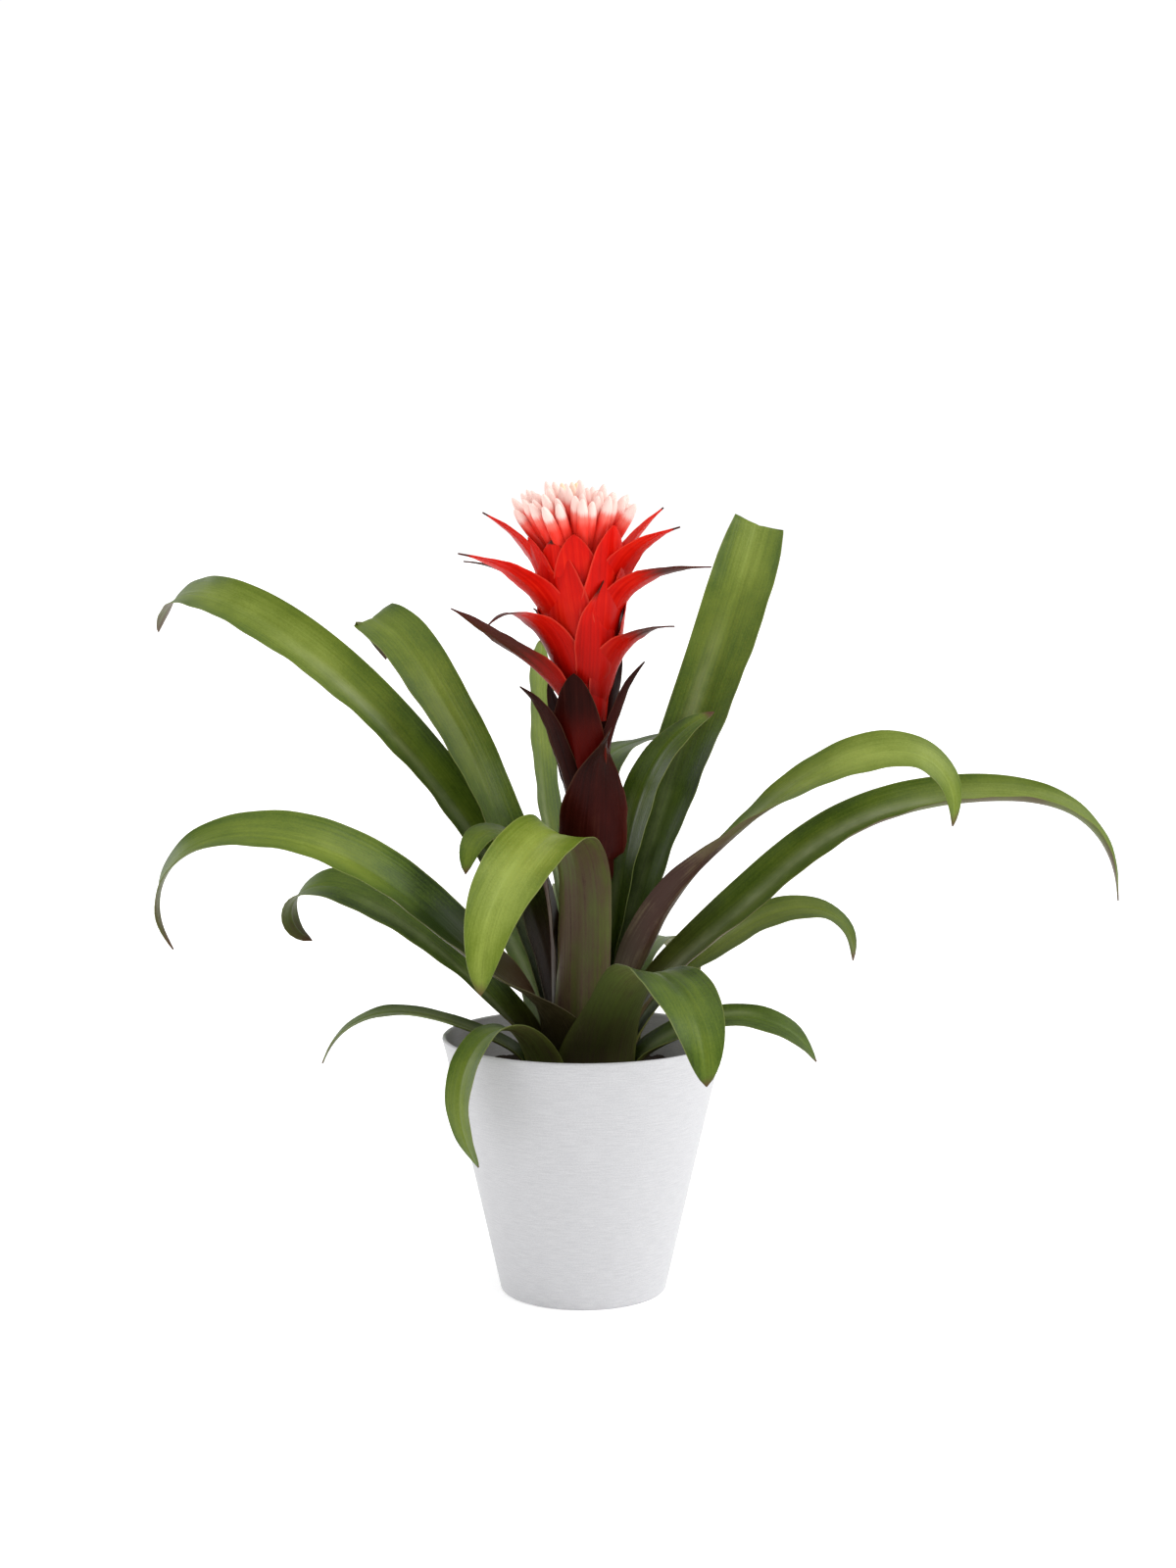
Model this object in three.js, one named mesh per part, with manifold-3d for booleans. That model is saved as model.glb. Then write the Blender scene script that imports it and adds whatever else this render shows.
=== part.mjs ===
// A guzmania, a bromeliad with a red flower head, growing in a round white pot.
// Millimetres, +Z up, the origin at the middle of the underside of the pot.
// Azimuths are degrees round the plant: 0 is to its right, 90 is behind it, -90 is the front.

import * as THREE from 'three';
import { mergeVertices } from 'three/addons/utils/BufferGeometryUtils.js';
import Module from 'manifold-3d';

const wasm = await Module();
wasm.setup();

// Pot
const POT_HEIGHT = 128;
const POT_RIM_RADIUS = 70;
const POT_BASE_RADIUS = 41;
const POT_WALL = 2.2;
const POT_FLOOR = 3;
const LIP_ROUND = POT_WALL / 2;
const FOOT_ROUND = 2;
const POT_SIDES = 36;
const ROUNDING_STEPS = 2;
const POT_SLOPE = (POT_RIM_RADIUS - POT_BASE_RADIUS) / POT_HEIGHT;

// Potting mix, a firm plug with a plain hole that the plant stands in
const FIT_GAP = 0.3;
const SOIL_TOP = 109;
const SOIL_CROWN = 1.5;
const HOLE_RADIUS = 34.6;
const HOLE_FLOOR = 100;
const ROOT_HEIGHT = HOLE_FLOOR + FIT_GAP;

// Leaf blades and the sheaths at their feet, nested one inside the next
const INNERMOST_SHEATH = 9;
const SHEATH_STEP = 1.25;
const SHEATH_LENGTH = 60;
const SHEATH_STAND = 88;
const SHEATH_CLASP = 20;
const BLADE_THICKNESS = 0.8;
const BLADE_STEP = 22;
const FEWEST_STEPS = 10;
const BLADE_STRIPS = 6;
const POINT_START = 0.66;
const POINT_FULLNESS = 0.7;
const WAIST = 0.9;
const TIP_HALF_WIDTH = 0.35;
const GUTTER = 0.8;
const FLATTENED = 0.3;
const FLATTENING_START = 0.3;
const FLATTENING_SPAN = 0.4;
const FOLD_LENGTH = 9;

// Flower stalk and its dark bracts
const STALK_RADIUS = 5;
const STALK_TOP = 284;
const STALK_SIDES = 12;
const BRACT_THICKNESS = 0.8;
const BRACT_STEPS = 5;
const BRACT_STRIPS = 2;
const BRACT_CLASP = 12;
const BRACT_STAND = 60;
const BRACT_UPRIGHT = 5;
const BRACT_FOOT_SHARE = 0.32;
const BRACT_POINT = 0.42;
const SPREADING_POINT = 0.2;
const SPREADING_FULLNESS = 1.15;
const BROAD_POINT = 0.35;
const BROAD_FULLNESS = 0.7;
const DARK_BRACT_ROOT = 4.4;
const RED_BRACT_ROOT = 8;

// Red head: a solid middle that the red bracts grow from
const HEAD_FOOT = STALK_TOP + FIT_GAP;
const HEAD_TOP = 362;
const HEAD_FOOT_RADIUS = 9;
const HEAD_TOP_RADIUS = 21;
const HEAD_BELLY = 0.5;
const HEAD_SIDES = 12;
const BRACT_RING_SHARE = 0.75;

// White-tipped florets on a cushion on top of the head
const CUSHION_FOOT = HEAD_TOP + FIT_GAP;
const CUSHION_RADIUS = 13.5;
const CUSHION_RISE = 8;
const CUSHION_SHOULDER = 0.88;
const FLORET_COUNT = 64;
const FLORET_LENGTH = 33;
const FLORET_RADIUS = 2.6;
const FLORET_FOOT_RADIUS = 1.4;
const FLORET_SHOULDER = 0.86;
const FLORET_SIDES = 4;
const FLORET_SPREAD = 0.94;
const FLORET_LEAN = 37;
const FLORET_SINK = 2;
const OUTER_SHORTENING = 0.04;
const LENGTH_SCATTER = 0.16;
const LEAN_SCATTER = 8;
const AZIMUTH_SCATTER = 8;
const FLORET_SEED = 11;
const GOLDEN_ANGLE = 137.508;

// Each leaf from the innermost to the outermost. climb is the angle above level at even
// steps from root to tip, sway turns the leaf aside from its azimuth, roll twists the blade.
// Two leaves fold over, by an angle (fold) at a distance from the root (foldAt). point is where the
// tip begins to narrow and flat is how cupped the blade stays towards its tip.
const LEAVES = [
  { name: 'leaf_short_back', azimuth: 74, length: 228, width: 25, sheath: 10, upright: 45,
    climb: [90, 95, 85, 71, 14, 10], sway: [0, 10, -35], roll: [0, 5, -5] },
  { name: 'leaf_centre_back', azimuth: 112, length: 275, width: 21, sheath: 12, upright: 45,
    point: 0.84,
    climb: [90, 85, 40, 50, 45, 35], sway: [0, -10, -25], roll: [0, 40, 55] },
  { name: 'leaf_pointed_right', azimuth: 35, length: 206, width: 26, sheath: 15, upright: 45,
    climb: [90, 85, 80, 78, 58, 20], sway: [0, -10, -15], roll: [0, 10, 25] },
  { name: 'leaf_tall_right', azimuth: 27, length: 358, width: 34, sheath: 18, upright: 45,
    point: 0.74, foldAt: 316, fold: -150,
    climb: [80, 75, 70, 65, 60, 55, 45, 40], sway: [0, 20, 50], roll: [0, 15, 22] },
  { name: 'leaf_behind_left', azimuth: 172, length: 175, width: 22, sheath: 13, upright: 40,
    climb: [90, 89, 88, 73, 15, -85], sway: [0, 0, 68], roll: [0, 0, -25] },
  { name: 'leaf_folded_upper_left', azimuth: 132, length: 310, width: 30, sheath: 18, upright: 45,
    point: 0.8, foldAt: 282, fold: -140,
    climb: [80, 75, 70, 65, 65, 55, 45, 15, 0], sway: [0, 20, -15], roll: [0, -15, -30] },
  { name: 'leaf_arched_right', azimuth: -8, length: 294, width: 29, sheath: 16, upright: 40,
    climb: [90, 72, 46, 34, 3, -100], sway: [0, 18, 9], roll: [0, -45, -10, 35, 50] },
  { name: 'leaf_front_folded', azimuth: 264, length: 266, width: 33, sheath: 20, upright: 40,
    climb: [80, 95, 75, -5, -35, -90], sway: [0, -15, -20], roll: [0, -15, -30] },
  { name: 'leaf_long_upper_left', azimuth: 127, length: 405, width: 29, sheath: 22, upright: 40,
    flat: 0.5,
    climb: [85, 61, 53, 40, 12, -40], sway: [0, 50, -15], roll: [0, -45, -35] },
  { name: 'leaf_long_right', azimuth: 8, length: 357, width: 30, sheath: 22, upright: 35, flat: 1.1,
    climb: [85, 42, 37, 11, -13, -88], sway: [0, 8, -10], roll: [0, 25, 25, 10] },
  { name: 'leaf_wide_left', azimuth: 232, length: 306, width: 35, sheath: 26, upright: 35,
    flat: 0.6, point: 0.56,
    climb: [105, 38, 43, 24, -20, -122], sway: [0, -35, -55], roll: [0, -40, -30, 0] },
  { name: 'leaf_low_right', azimuth: 21, length: 185, width: 20, sheath: 22, upright: 30,
    climb: [85, 55, 30, 25, -10, -95], sway: [0, 5, -25], roll: [0, 25, 30] },
  { name: 'leaf_curled_left', azimuth: 183, length: 203, width: 26, sheath: 22, upright: 30,
    point: 0.7,
    climb: [90, 54, 45, 35, 22, -30, -165], sway: [0, -15, -20], roll: [0, -25, -35, -30, 25] },
  { name: 'leaf_front_right', azimuth: 293, length: 198, width: 33, sheath: 27, upright: 28,
    climb: [90, 55, 30, 3, -30, -90], sway: [0, -5, 0], roll: [0, -5, 10] },
  { name: 'leaf_hanging_right', azimuth: 4, length: 116, width: 21, sheath: 18, upright: 22,
    climb: [75, 36, 24, 0, -30, -60], sway: [0, -10, 0], roll: [0, 25, 25] },
  { name: 'leaf_thin_left', azimuth: 177, length: 131, width: 20, sheath: 13, upright: 22,
    climb: [75, 30, 20, 5, -30, -70], sway: [0, 5, 5], roll: [0, -5, 0] },
  { name: 'leaf_over_rim', azimuth: 229, length: 143, width: 19, sheath: 14, upright: 22,
    climb: [90, 50, 5, -50, -100, -125], sway: [0, 5, -5], roll: [0, 5, 5] },
  { name: 'leaf_low_back', azimuth: 92, length: 205, width: 26, sheath: 22, upright: 25,
    climb: [90, 65, 35, 5, -35, -80], sway: [0, 0, 0], roll: [0, 0, 0] },
  { name: 'leaf_low_back_left', azimuth: 118, length: 168, width: 24, sheath: 17, upright: 24,
    climb: [90, 55, 40, 15, -25, -70], sway: [0, 0, 0], roll: [0, -5, -5] },
  { name: 'leaf_low_back_right', azimuth: 66, length: 165, width: 24, sheath: 22, upright: 22,
    climb: [90, 55, 30, 0, -35, -75], sway: [0, 0, 0], roll: [0, 0, 0] },
];

// Dark bracts that clasp the stalk, from the lowest upwards
const DARK_BRACTS = [
  { azimuth: -38, foot: 176, length: 52, width: 16, climb: [88, 82, 80, 80] },
  { azimuth: 84, foot: 206, length: 60, width: 20, climb: [78, 78, 76, 74] },
  { azimuth: -76, foot: 206, length: 80, width: 38, climb: [60, 76, 86, 62], sway: [0, 0, 30, 75] },
  { azimuth: 140, foot: 222, length: 82, width: 18, climb: [74, 76, 78, 74] },
  { azimuth: 222, foot: 226, length: 88, width: 15, climb: [74, 72, 66, 30] },
  { azimuth: 42, foot: 246, length: 92, width: 13, climb: [74, 77, 78, 78] },
  { azimuth: -34, foot: 250, length: 72, width: 10, climb: [76, 72, 64, 42] },
  { azimuth: -108, foot: 246, length: 66, width: 28, climb: [42, 74, 88, 94] },
];

// Red bracts that stand away from the head, the lowest first
const SPREADING_BRACTS = [
  { azimuth: 196, foot: 288, length: 78, width: 29, climb: [62, 49, 38, 38, 26], roll: [0, 10, 22] },
  { azimuth: -28, foot: 292, length: 63, width: 27, climb: [76, 72, 46, 20, 0], roll: [0, -10, 0] },
  { azimuth: 214, foot: 297, length: 70, width: 28, climb: [74, 70, 50, 8, -40], roll: [0, 10, 0] },
  { azimuth: 78, foot: 298, length: 50, width: 20, climb: [70, 60, 40, 15] },
  { azimuth: 128, foot: 300, length: 50, width: 20, climb: [72, 64, 46, 20] },
  { azimuth: -28, foot: 308, length: 92, width: 24,
    climb: [82, 78, 54, 24, 8, 0], roll: [0, -15, -10] },
  { azimuth: 212, foot: 306, length: 91, width: 26,
    climb: [80, 78, 60, 36, 18, 10], roll: [0, 15, 10] },
  { azimuth: 168, foot: 308, length: 79, width: 26, climb: [80, 75, 53, 25, 4], roll: [0, 10, 10] },
  { azimuth: 100, foot: 316, length: 60, width: 22, climb: [78, 66, 44, 20] },
  { azimuth: 46, foot: 316, length: 58, width: 22, climb: [78, 68, 50, 30] },
  { azimuth: -34, foot: 314, length: 89, width: 25, climb: [84, 78, 58, 28, 14], roll: [0, -15, -10] },
  { azimuth: 140, foot: 320, length: 52, width: 22, climb: [82, 74, 62, 50] },
  { azimuth: 190, foot: 322, length: 75, width: 26, climb: [70, 80, 74, 46, 30], roll: [0, 10, 15] },
  { azimuth: -8, foot: 322, length: 76, width: 26, climb: [70, 78, 76, 48, 38], roll: [0, -10, -15] },
  { azimuth: 72, foot: 330, length: 54, width: 22, climb: [80, 74, 64, 50] },
];

// Broad upright bracts on the front of the head
const BROAD_BRACTS = [
  { azimuth: -66, foot: 299, length: 58, width: 24, climb: [60, 78, 88, 62], sway: [0, 0, 20, 80] },
  { azimuth: -122, foot: 310, length: 64, width: 32, climb: [64, 80, 84, 84] },
  { azimuth: -48, foot: 314, length: 68, width: 30, climb: [64, 78, 80, 72] },
  { azimuth: -92, foot: 328, length: 49, width: 26, climb: [64, 78, 78, 72] },
  { azimuth: -152, foot: 326, length: 50, width: 24, climb: [64, 80, 76, 66] },
  { azimuth: -18, foot: 324, length: 48, width: 24, climb: [60, 72, 72, 64] },
];

// Upright red bracts that overlap round the back of the head
const CLASPING_COUNT = 7;
const CLASPING_FIRST_AZIMUTH = 5;
const CLASPING_TURN = 77;
const CLASPING_ARC = 180;
const CLASPING_FOOT = 300;
const CLASPING_STEP = 4;
const CLASPING_LENGTH = 50;
const CLASPING_WIDTH = 26;
const CLASPING_CLIMB = [60, 74, 80, 74];

// The stalk bows a little to the right and the head leans back over it to the left.
const BOW_START = 110;
const BOW_SPAN = 290;
const BOW = 24;
const BOW_RETURN = 0.75;

const degrees = (angle) => (angle * Math.PI) / 180;
const clamp = (value) => Math.min(Math.max(value, 0), 1);
const mix = (from, to, share) => from + (to - from) * share;

// A step from 0 to 1 with soft ends.
function ease(value) {
  const t = clamp(value);
  return t * t * (3 - 2 * t);
}

// A smooth curve through evenly spaced values, read at a share of its length.
function through(values, share) {
  const last = values.length - 1;
  const place = clamp(share) * last;
  const index = Math.min(Math.floor(place), last - 1);
  const f = place - index;
  const before = values[Math.max(index - 1, 0)];
  const from = values[index];
  const to = values[index + 1];
  const after = values[Math.min(index + 2, last)];
  const bend = 2 * before - 5 * from + 4 * to - after + f * (3 * (from - to) + after - before);
  return from + 0.5 * f * (to - before + f * bend);
}

// Numbers from 0 to 1 that are the same on every run.
function seededNumbers(seed) {
  const multiplier = 16807;
  const modulus = 2147483647;
  let state = seed;
  return () => {
    state = (state * multiplier) % modulus;
    return state / modulus;
  };
}

// Places along the middle of a blade, each with its side and face directions. They are evenly
// spaced, with three more through a fold.
function midrib(blade, steps) {
  const fine = 8;
  const count = steps * fine;
  const rows = new Set(Array.from({ length: steps + 1 }, (_, k) => k * fine));
  for (const part of blade.fold ? [-0.5, 0, 0.5] : []) {
    rows.add(Math.round(((blade.foldAt + part * FOLD_LENGTH) / blade.length) * count));
  }
  const azimuth = degrees(blade.azimuth);
  const point = new THREE.Vector3(
    blade.root * Math.cos(azimuth), blade.root * Math.sin(azimuth), blade.foot);
  const places = [];
  let previous = null;
  for (let i = 0; i <= count; i += 1) {
    const share = i / count;
    const distance = share * blade.length;
    const free = ease(distance / blade.upright);
    const creased = ease((distance - blade.foldAt) / FOLD_LENGTH + 0.5);
    const climb = degrees(mix(blade.stand, through(blade.climb, share), free) + blade.fold * creased);
    const heading = azimuth + degrees(through(blade.sway, share) * free);
    const roll = degrees(through(blade.roll, share) * ease(distance / (2 * blade.upright)));
    const along = new THREE.Vector3(
      Math.cos(climb) * Math.cos(heading), Math.cos(climb) * Math.sin(heading), Math.sin(climb));
    if (previous) {
      point.addScaledVector(previous.clone().add(along), blade.length / count / 2);
    }
    previous = along;
    if (rows.has(i)) {
      const level = new THREE.Vector3(-Math.sin(heading), Math.cos(heading), 0);
      const face = along.clone().cross(level);
      const side = level.clone().multiplyScalar(Math.cos(roll)).addScaledVector(face, Math.sin(roll));
      face.multiplyScalar(Math.cos(roll)).addScaledVector(level, -Math.sin(roll));
      places.push({ share, distance, point: point.clone(), side, face });
    }
  }
  return places;
}

// Half the width of a blade: a broad sheath, a slight waist and a point.
function halfWidth(blade, place) {
  const full = blade.width / 2;
  let width = mix(blade.sheath, full * WAIST, ease(place.distance / blade.sheathLength));
  width += full * (1 - WAIST) * ease((place.distance - blade.sheathLength) / blade.sheathLength);
  const end = clamp((place.share - blade.point) / (1 - blade.point));
  return Math.max(width * (1 - end * end) ** blade.fullness, TIP_HALF_WIDTH);
}

// How strongly a blade is cupped across: round the axis at its foot, then a shallow gutter.
function cupping(blade, place) {
  const round = 1 / blade.root;
  const gutter = GUTTER / (blade.width / 2);
  const flat = blade.flat / (blade.width / 2);
  const opened = ease((place.distance - blade.claspEnd) / blade.openLength);
  const flattened = ease((place.share - FLATTENING_START) / FLATTENING_SPAN);
  return mix(round, gutter, opened) + (flat - gutter) * flattened;
}

// A closed blade of even thickness, cut into the same triangles on both faces.
function bladeGeometry(blade) {
  const places = midrib(blade, blade.steps);
  const strips = blade.strips;
  const steps = places.length - 1;
  const positions = [];
  for (const half of [blade.thickness / 2, -blade.thickness / 2]) {
    for (const place of places) {
      const width = halfWidth(blade, place);
      const bend = cupping(blade, place);
      for (let j = 0; j <= strips; j += 1) {
        const turn = bend * width * ((2 * j) / strips - 1);
        const across = Math.sin(turn) * (1 / bend - half);
        const lift = 1 / bend - Math.cos(turn) * (1 / bend - half);
        const vertex = place.point.clone();
        vertex.addScaledVector(place.side, across).addScaledVector(place.face, lift);
        positions.push(vertex.x, vertex.y, vertex.z);
      }
    }
  }
  const row = strips + 1;
  const under = (steps + 1) * row;
  const index = [];
  for (let i = 0; i < steps; i += 1) {
    for (let j = 0; j < strips; j += 1) {
      const a = i * row + j;
      const b = a + 1;
      const c = a + row + 1;
      const d = a + row;
      index.push(a, c, b, a, d, c);
      index.push(under + a, under + b, under + c, under + a, under + c, under + d);
    }
  }
  const rim = [];
  for (let j = 0; j < strips; j += 1) rim.push(j);
  for (let i = 0; i < steps; i += 1) rim.push(i * row + strips);
  for (let j = strips; j > 0; j -= 1) rim.push(steps * row + j);
  for (let i = steps; i > 0; i -= 1) rim.push(i * row);
  rim.forEach((from, k) => {
    const to = rim[(k + 1) % rim.length];
    index.push(from, under + to, under + from, from, to, under + to);
  });
  return closedGeometry(positions, index);
}

function closedGeometry(positions, index) {
  const geometry = new THREE.BufferGeometry();
  geometry.setAttribute('position', new THREE.Float32BufferAttribute(positions, 3));
  geometry.setIndex(index);
  return geometry;
}

// Merges the corners that triangles share, and drops the triangles that have no area.
function welded(geometry) {
  geometry.deleteAttribute('normal');
  geometry.deleteAttribute('uv');
  const merged = mergeVertices(geometry);
  const corners = merged.index.array;
  const index = [];
  for (let i = 0; i < corners.length; i += 3) {
    const [a, b, c] = corners.slice(i, i + 3);
    if (a !== b && b !== c && c !== a) index.push(a, b, c);
  }
  merged.setIndex(index);
  return merged;
}

// A solid turned about Z. Its outline runs from the axis below, round the outside and back to
// the axis above, as points of radius and height.
function turned(outline, sides) {
  const geometry = new THREE.LatheGeometry(outline, sides);
  geometry.rotateX(Math.PI / 2);
  return welded(geometry);
}

const radiusHeight = ([radius, height]) => new THREE.Vector2(radius, height);

function solidOf(geometry) {
  return new wasm.Manifold(new wasm.Mesh({
    numProp: 3,
    vertProperties: geometry.attributes.position.array,
    triVerts: Uint32Array.from(geometry.index.array),
  }));
}

function geometryOf(solid) {
  const mesh = solid.getMesh();
  return welded(closedGeometry(Array.from(mesh.vertProperties), Array.from(mesh.triVerts)));
}

// Joins closed geometries into one body and fills any pocket shut in between them.
function fused(geometries) {
  const whole = geometries.map(solidOf).reduce((sum, next) => sum.add(next));
  const shells = whole.decompose().filter((shell) => shell.volume() > 0);
  return geometryOf(shells.reduce((sum, next) => sum.add(next)));
}

// The flower's geometry, moved aside by the bow of the stalk.
function bowed(geometry) {
  const position = geometry.attributes.position;
  for (let i = 0; i < position.count; i += 1) {
    const rise = Math.max((position.getZ(i) - BOW_START) / BOW_SPAN, 0);
    position.setX(i, position.getX(i) + BOW * rise * (BOW_RETURN - rise));
  }
  return geometry;
}

function leafBlade(leaf, order) {
  return {
    point: POINT_START,
    fullness: POINT_FULLNESS,
    foldAt: 0,
    fold: 0,
    flat: FLATTENED,
    ...leaf,
    root: INNERMOST_SHEATH + order * SHEATH_STEP,
    foot: ROOT_HEIGHT,
    stand: SHEATH_STAND,
    sheathLength: SHEATH_LENGTH,
    claspEnd: SHEATH_CLASP,
    openLength: SHEATH_LENGTH,
    thickness: BLADE_THICKNESS,
    steps: Math.max(Math.round(leaf.length / BLADE_STEP), FEWEST_STEPS),
    strips: BLADE_STRIPS,
  };
}

function bractBlade(bract, root) {
  return {
    sway: [0, 0],
    roll: [0, 0],
    point: BRACT_POINT,
    fullness: POINT_FULLNESS,
    foldAt: 0,
    fold: 0,
    flat: FLATTENED,
    ...bract,
    root,
    stand: BRACT_STAND,
    upright: BRACT_UPRIGHT,
    sheath: bract.width * BRACT_FOOT_SHARE,
    sheathLength: BRACT_CLASP,
    claspEnd: 0,
    openLength: BRACT_CLASP,
    thickness: BRACT_THICKNESS,
    steps: BRACT_STEPS,
    strips: BRACT_STRIPS,
  };
}

// The radius of the pot's outer face at a height.
const potRadius = (height) => POT_BASE_RADIUS + POT_SLOPE * height;

function potGeometry() {
  const outline = new THREE.Path();
  outline.moveTo(0, 0);
  outline.lineTo(potRadius(FOOT_ROUND) - FOOT_ROUND, 0);
  outline.absarc(potRadius(FOOT_ROUND) - FOOT_ROUND, FOOT_ROUND, FOOT_ROUND, -Math.PI / 2, 0);
  outline.absarc(POT_RIM_RADIUS - LIP_ROUND, POT_HEIGHT - LIP_ROUND, LIP_ROUND, 0, Math.PI);
  outline.lineTo(potRadius(POT_FLOOR) - POT_WALL, POT_FLOOR);
  outline.lineTo(0, POT_FLOOR);
  return turned(outline.getPoints(ROUNDING_STEPS), POT_SIDES);
}

function soilGeometry() {
  const wall = (height) => potRadius(height) - POT_WALL - FIT_GAP;
  const foot = POT_FLOOR + FIT_GAP;
  return turned([
    [0, foot],
    [wall(foot), foot],
    [wall(SOIL_TOP), SOIL_TOP],
    [(wall(SOIL_TOP) + HOLE_RADIUS) / 2, SOIL_TOP + SOIL_CROWN],
    [HOLE_RADIUS, SOIL_TOP + SOIL_CROWN / 2],
    [HOLE_RADIUS, HOLE_FLOOR],
    [0, HOLE_FLOOR],
  ].map(radiusHeight), POT_SIDES);
}

function stalkGeometry() {
  const stem = turned([
    [0, ROOT_HEIGHT],
    [STALK_RADIUS, ROOT_HEIGHT],
    [STALK_RADIUS, STALK_TOP],
    [0, STALK_TOP],
  ].map(radiusHeight), STALK_SIDES);
  const bracts = DARK_BRACTS.map((bract) => bladeGeometry(bractBlade(bract, DARK_BRACT_ROOT)));
  return fused([stem, ...bracts]);
}

// The upright bracts, each a little higher than the one before.
function claspingBracts() {
  return Array.from({ length: CLASPING_COUNT }, (_, order) => ({
    azimuth: CLASPING_FIRST_AZIMUTH + (order * CLASPING_TURN) % CLASPING_ARC,
    foot: CLASPING_FOOT + order * CLASPING_STEP,
    length: CLASPING_LENGTH,
    width: CLASPING_WIDTH,
    climb: CLASPING_CLIMB,
  }));
}

function headGeometry() {
  const middle = turned([
    [0, HEAD_FOOT],
    [HEAD_FOOT_RADIUS, HEAD_FOOT],
    [mix(HEAD_FOOT_RADIUS, HEAD_TOP_RADIUS, HEAD_BELLY), (HEAD_FOOT + HEAD_TOP) / 2],
    [HEAD_TOP_RADIUS, HEAD_TOP],
    [0, HEAD_TOP],
  ].map(radiusHeight), HEAD_SIDES);
  const spreading = { point: SPREADING_POINT, fullness: SPREADING_FULLNESS };
  const broad = { point: BROAD_POINT, fullness: BROAD_FULLNESS };
  const bracts = [
    ...SPREADING_BRACTS.map((bract) => ({ ...spreading, ...bract })),
    ...[...BROAD_BRACTS, ...claspingBracts()].map((bract) => ({ ...broad, ...bract })),
  ].map((bract) => {
    const rise = (bract.foot - HEAD_FOOT) / (HEAD_TOP - HEAD_FOOT);
    const root = mix(RED_BRACT_ROOT, HEAD_TOP_RADIUS * BRACT_RING_SHARE, rise);
    return bladeGeometry(bractBlade(bract, root));
  });
  return fused([middle, ...bracts]);
}

function cushionGeometry() {
  return turned([
    [0, CUSHION_FOOT],
    [CUSHION_RADIUS, CUSHION_FOOT],
    [CUSHION_RADIUS * CUSHION_SHOULDER, CUSHION_FOOT + CUSHION_RISE / 2],
    [CUSHION_RADIUS / 2, CUSHION_FOOT + CUSHION_RISE * CUSHION_SHOULDER],
    [0, CUSHION_FOOT + CUSHION_RISE],
  ].map(radiusHeight), HEAD_SIDES);
}

function floretGeometry() {
  const random = seededNumbers(FLORET_SEED);
  const scatter = (width) => width * (random() - 0.5);
  const bud = turned([
    [0, 0],
    [FLORET_FOOT_RADIUS, 0],
    [FLORET_RADIUS, FLORET_LENGTH * FLORET_SHOULDER],
    [0, FLORET_LENGTH],
  ].map(radiusHeight), FLORET_SIDES);
  const florets = [];
  for (let k = 0; k < FLORET_COUNT; k += 1) {
    const out = Math.sqrt((k + 0.5) / FLORET_COUNT);
    const azimuth = degrees(k * GOLDEN_ANGLE + scatter(AZIMUTH_SCATTER));
    const lean = degrees(FLORET_LEAN * out + scatter(LEAN_SCATTER));
    const radius = CUSHION_RADIUS * FLORET_SPREAD * out;
    const stretch = 1 - OUTER_SHORTENING * out + scatter(LENGTH_SCATTER);
    const height = CUSHION_FOOT + mix(CUSHION_RISE - FLORET_SINK, FLORET_SINK / 2, out * out);
    const floret = bud.clone();
    floret.scale(1, 1, stretch);
    floret.rotateY(lean);
    floret.rotateZ(azimuth);
    floret.translate(radius * Math.cos(azimuth), radius * Math.sin(azimuth), height);
    florets.push(floret);
  }
  return fused([cushionGeometry(), ...florets]);
}

const plant = new THREE.Group();
plant.name = 'guzmania_in_pot';

function add(name, geometry, colour, roughness) {
  const material = new THREE.MeshStandardMaterial({ color: colour, roughness, metalness: 0 });
  material.name = name;
  const mesh = new THREE.Mesh(geometry, material);
  mesh.name = name;
  plant.add(mesh);
}

add('pot', potGeometry(), '#e3e2e3', 0.5);
add('potting_mix', soilGeometry(), '#3a2c22', 0.95);
LEAVES.forEach((leaf, order) => {
  add(leaf.name, bladeGeometry(leafBlade(leaf, order)), '#5b7a33', 0.5);
});
add('flower_stalk', bowed(stalkGeometry()), '#4a1c1c', 0.5);
add('red_head', bowed(headGeometry()), '#d92a1c', 0.45);
add('florets', bowed(floretGeometry()), '#f6d3c6', 0.5);

export default plant;
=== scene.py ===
"""A guzmania in a round white pot: blades, bracts, florets, potting mix and pot, with their finishes.

Shapes are worked out in millimetres and turned into metres when a mesh is made.
Azimuths are degrees round the plant: 0 is to its right, 90 is behind it, -90 is the front.
"""

import math

import bmesh
import bpy
import numpy as np
from mathutils import Matrix, Vector, noise


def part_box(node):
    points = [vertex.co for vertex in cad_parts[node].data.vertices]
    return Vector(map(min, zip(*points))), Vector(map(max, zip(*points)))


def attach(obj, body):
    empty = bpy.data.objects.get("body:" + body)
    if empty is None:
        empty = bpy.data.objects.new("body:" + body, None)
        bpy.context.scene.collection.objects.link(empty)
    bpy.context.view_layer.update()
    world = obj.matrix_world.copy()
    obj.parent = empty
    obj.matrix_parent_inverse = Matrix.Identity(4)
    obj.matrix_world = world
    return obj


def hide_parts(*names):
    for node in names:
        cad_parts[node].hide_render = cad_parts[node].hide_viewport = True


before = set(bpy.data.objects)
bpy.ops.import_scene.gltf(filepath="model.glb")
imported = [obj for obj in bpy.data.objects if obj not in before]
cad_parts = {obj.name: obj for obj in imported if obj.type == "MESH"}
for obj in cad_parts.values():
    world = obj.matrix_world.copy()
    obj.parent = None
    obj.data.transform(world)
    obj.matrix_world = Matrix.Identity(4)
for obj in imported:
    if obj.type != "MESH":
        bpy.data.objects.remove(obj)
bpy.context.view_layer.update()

MM = 0.001

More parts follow.
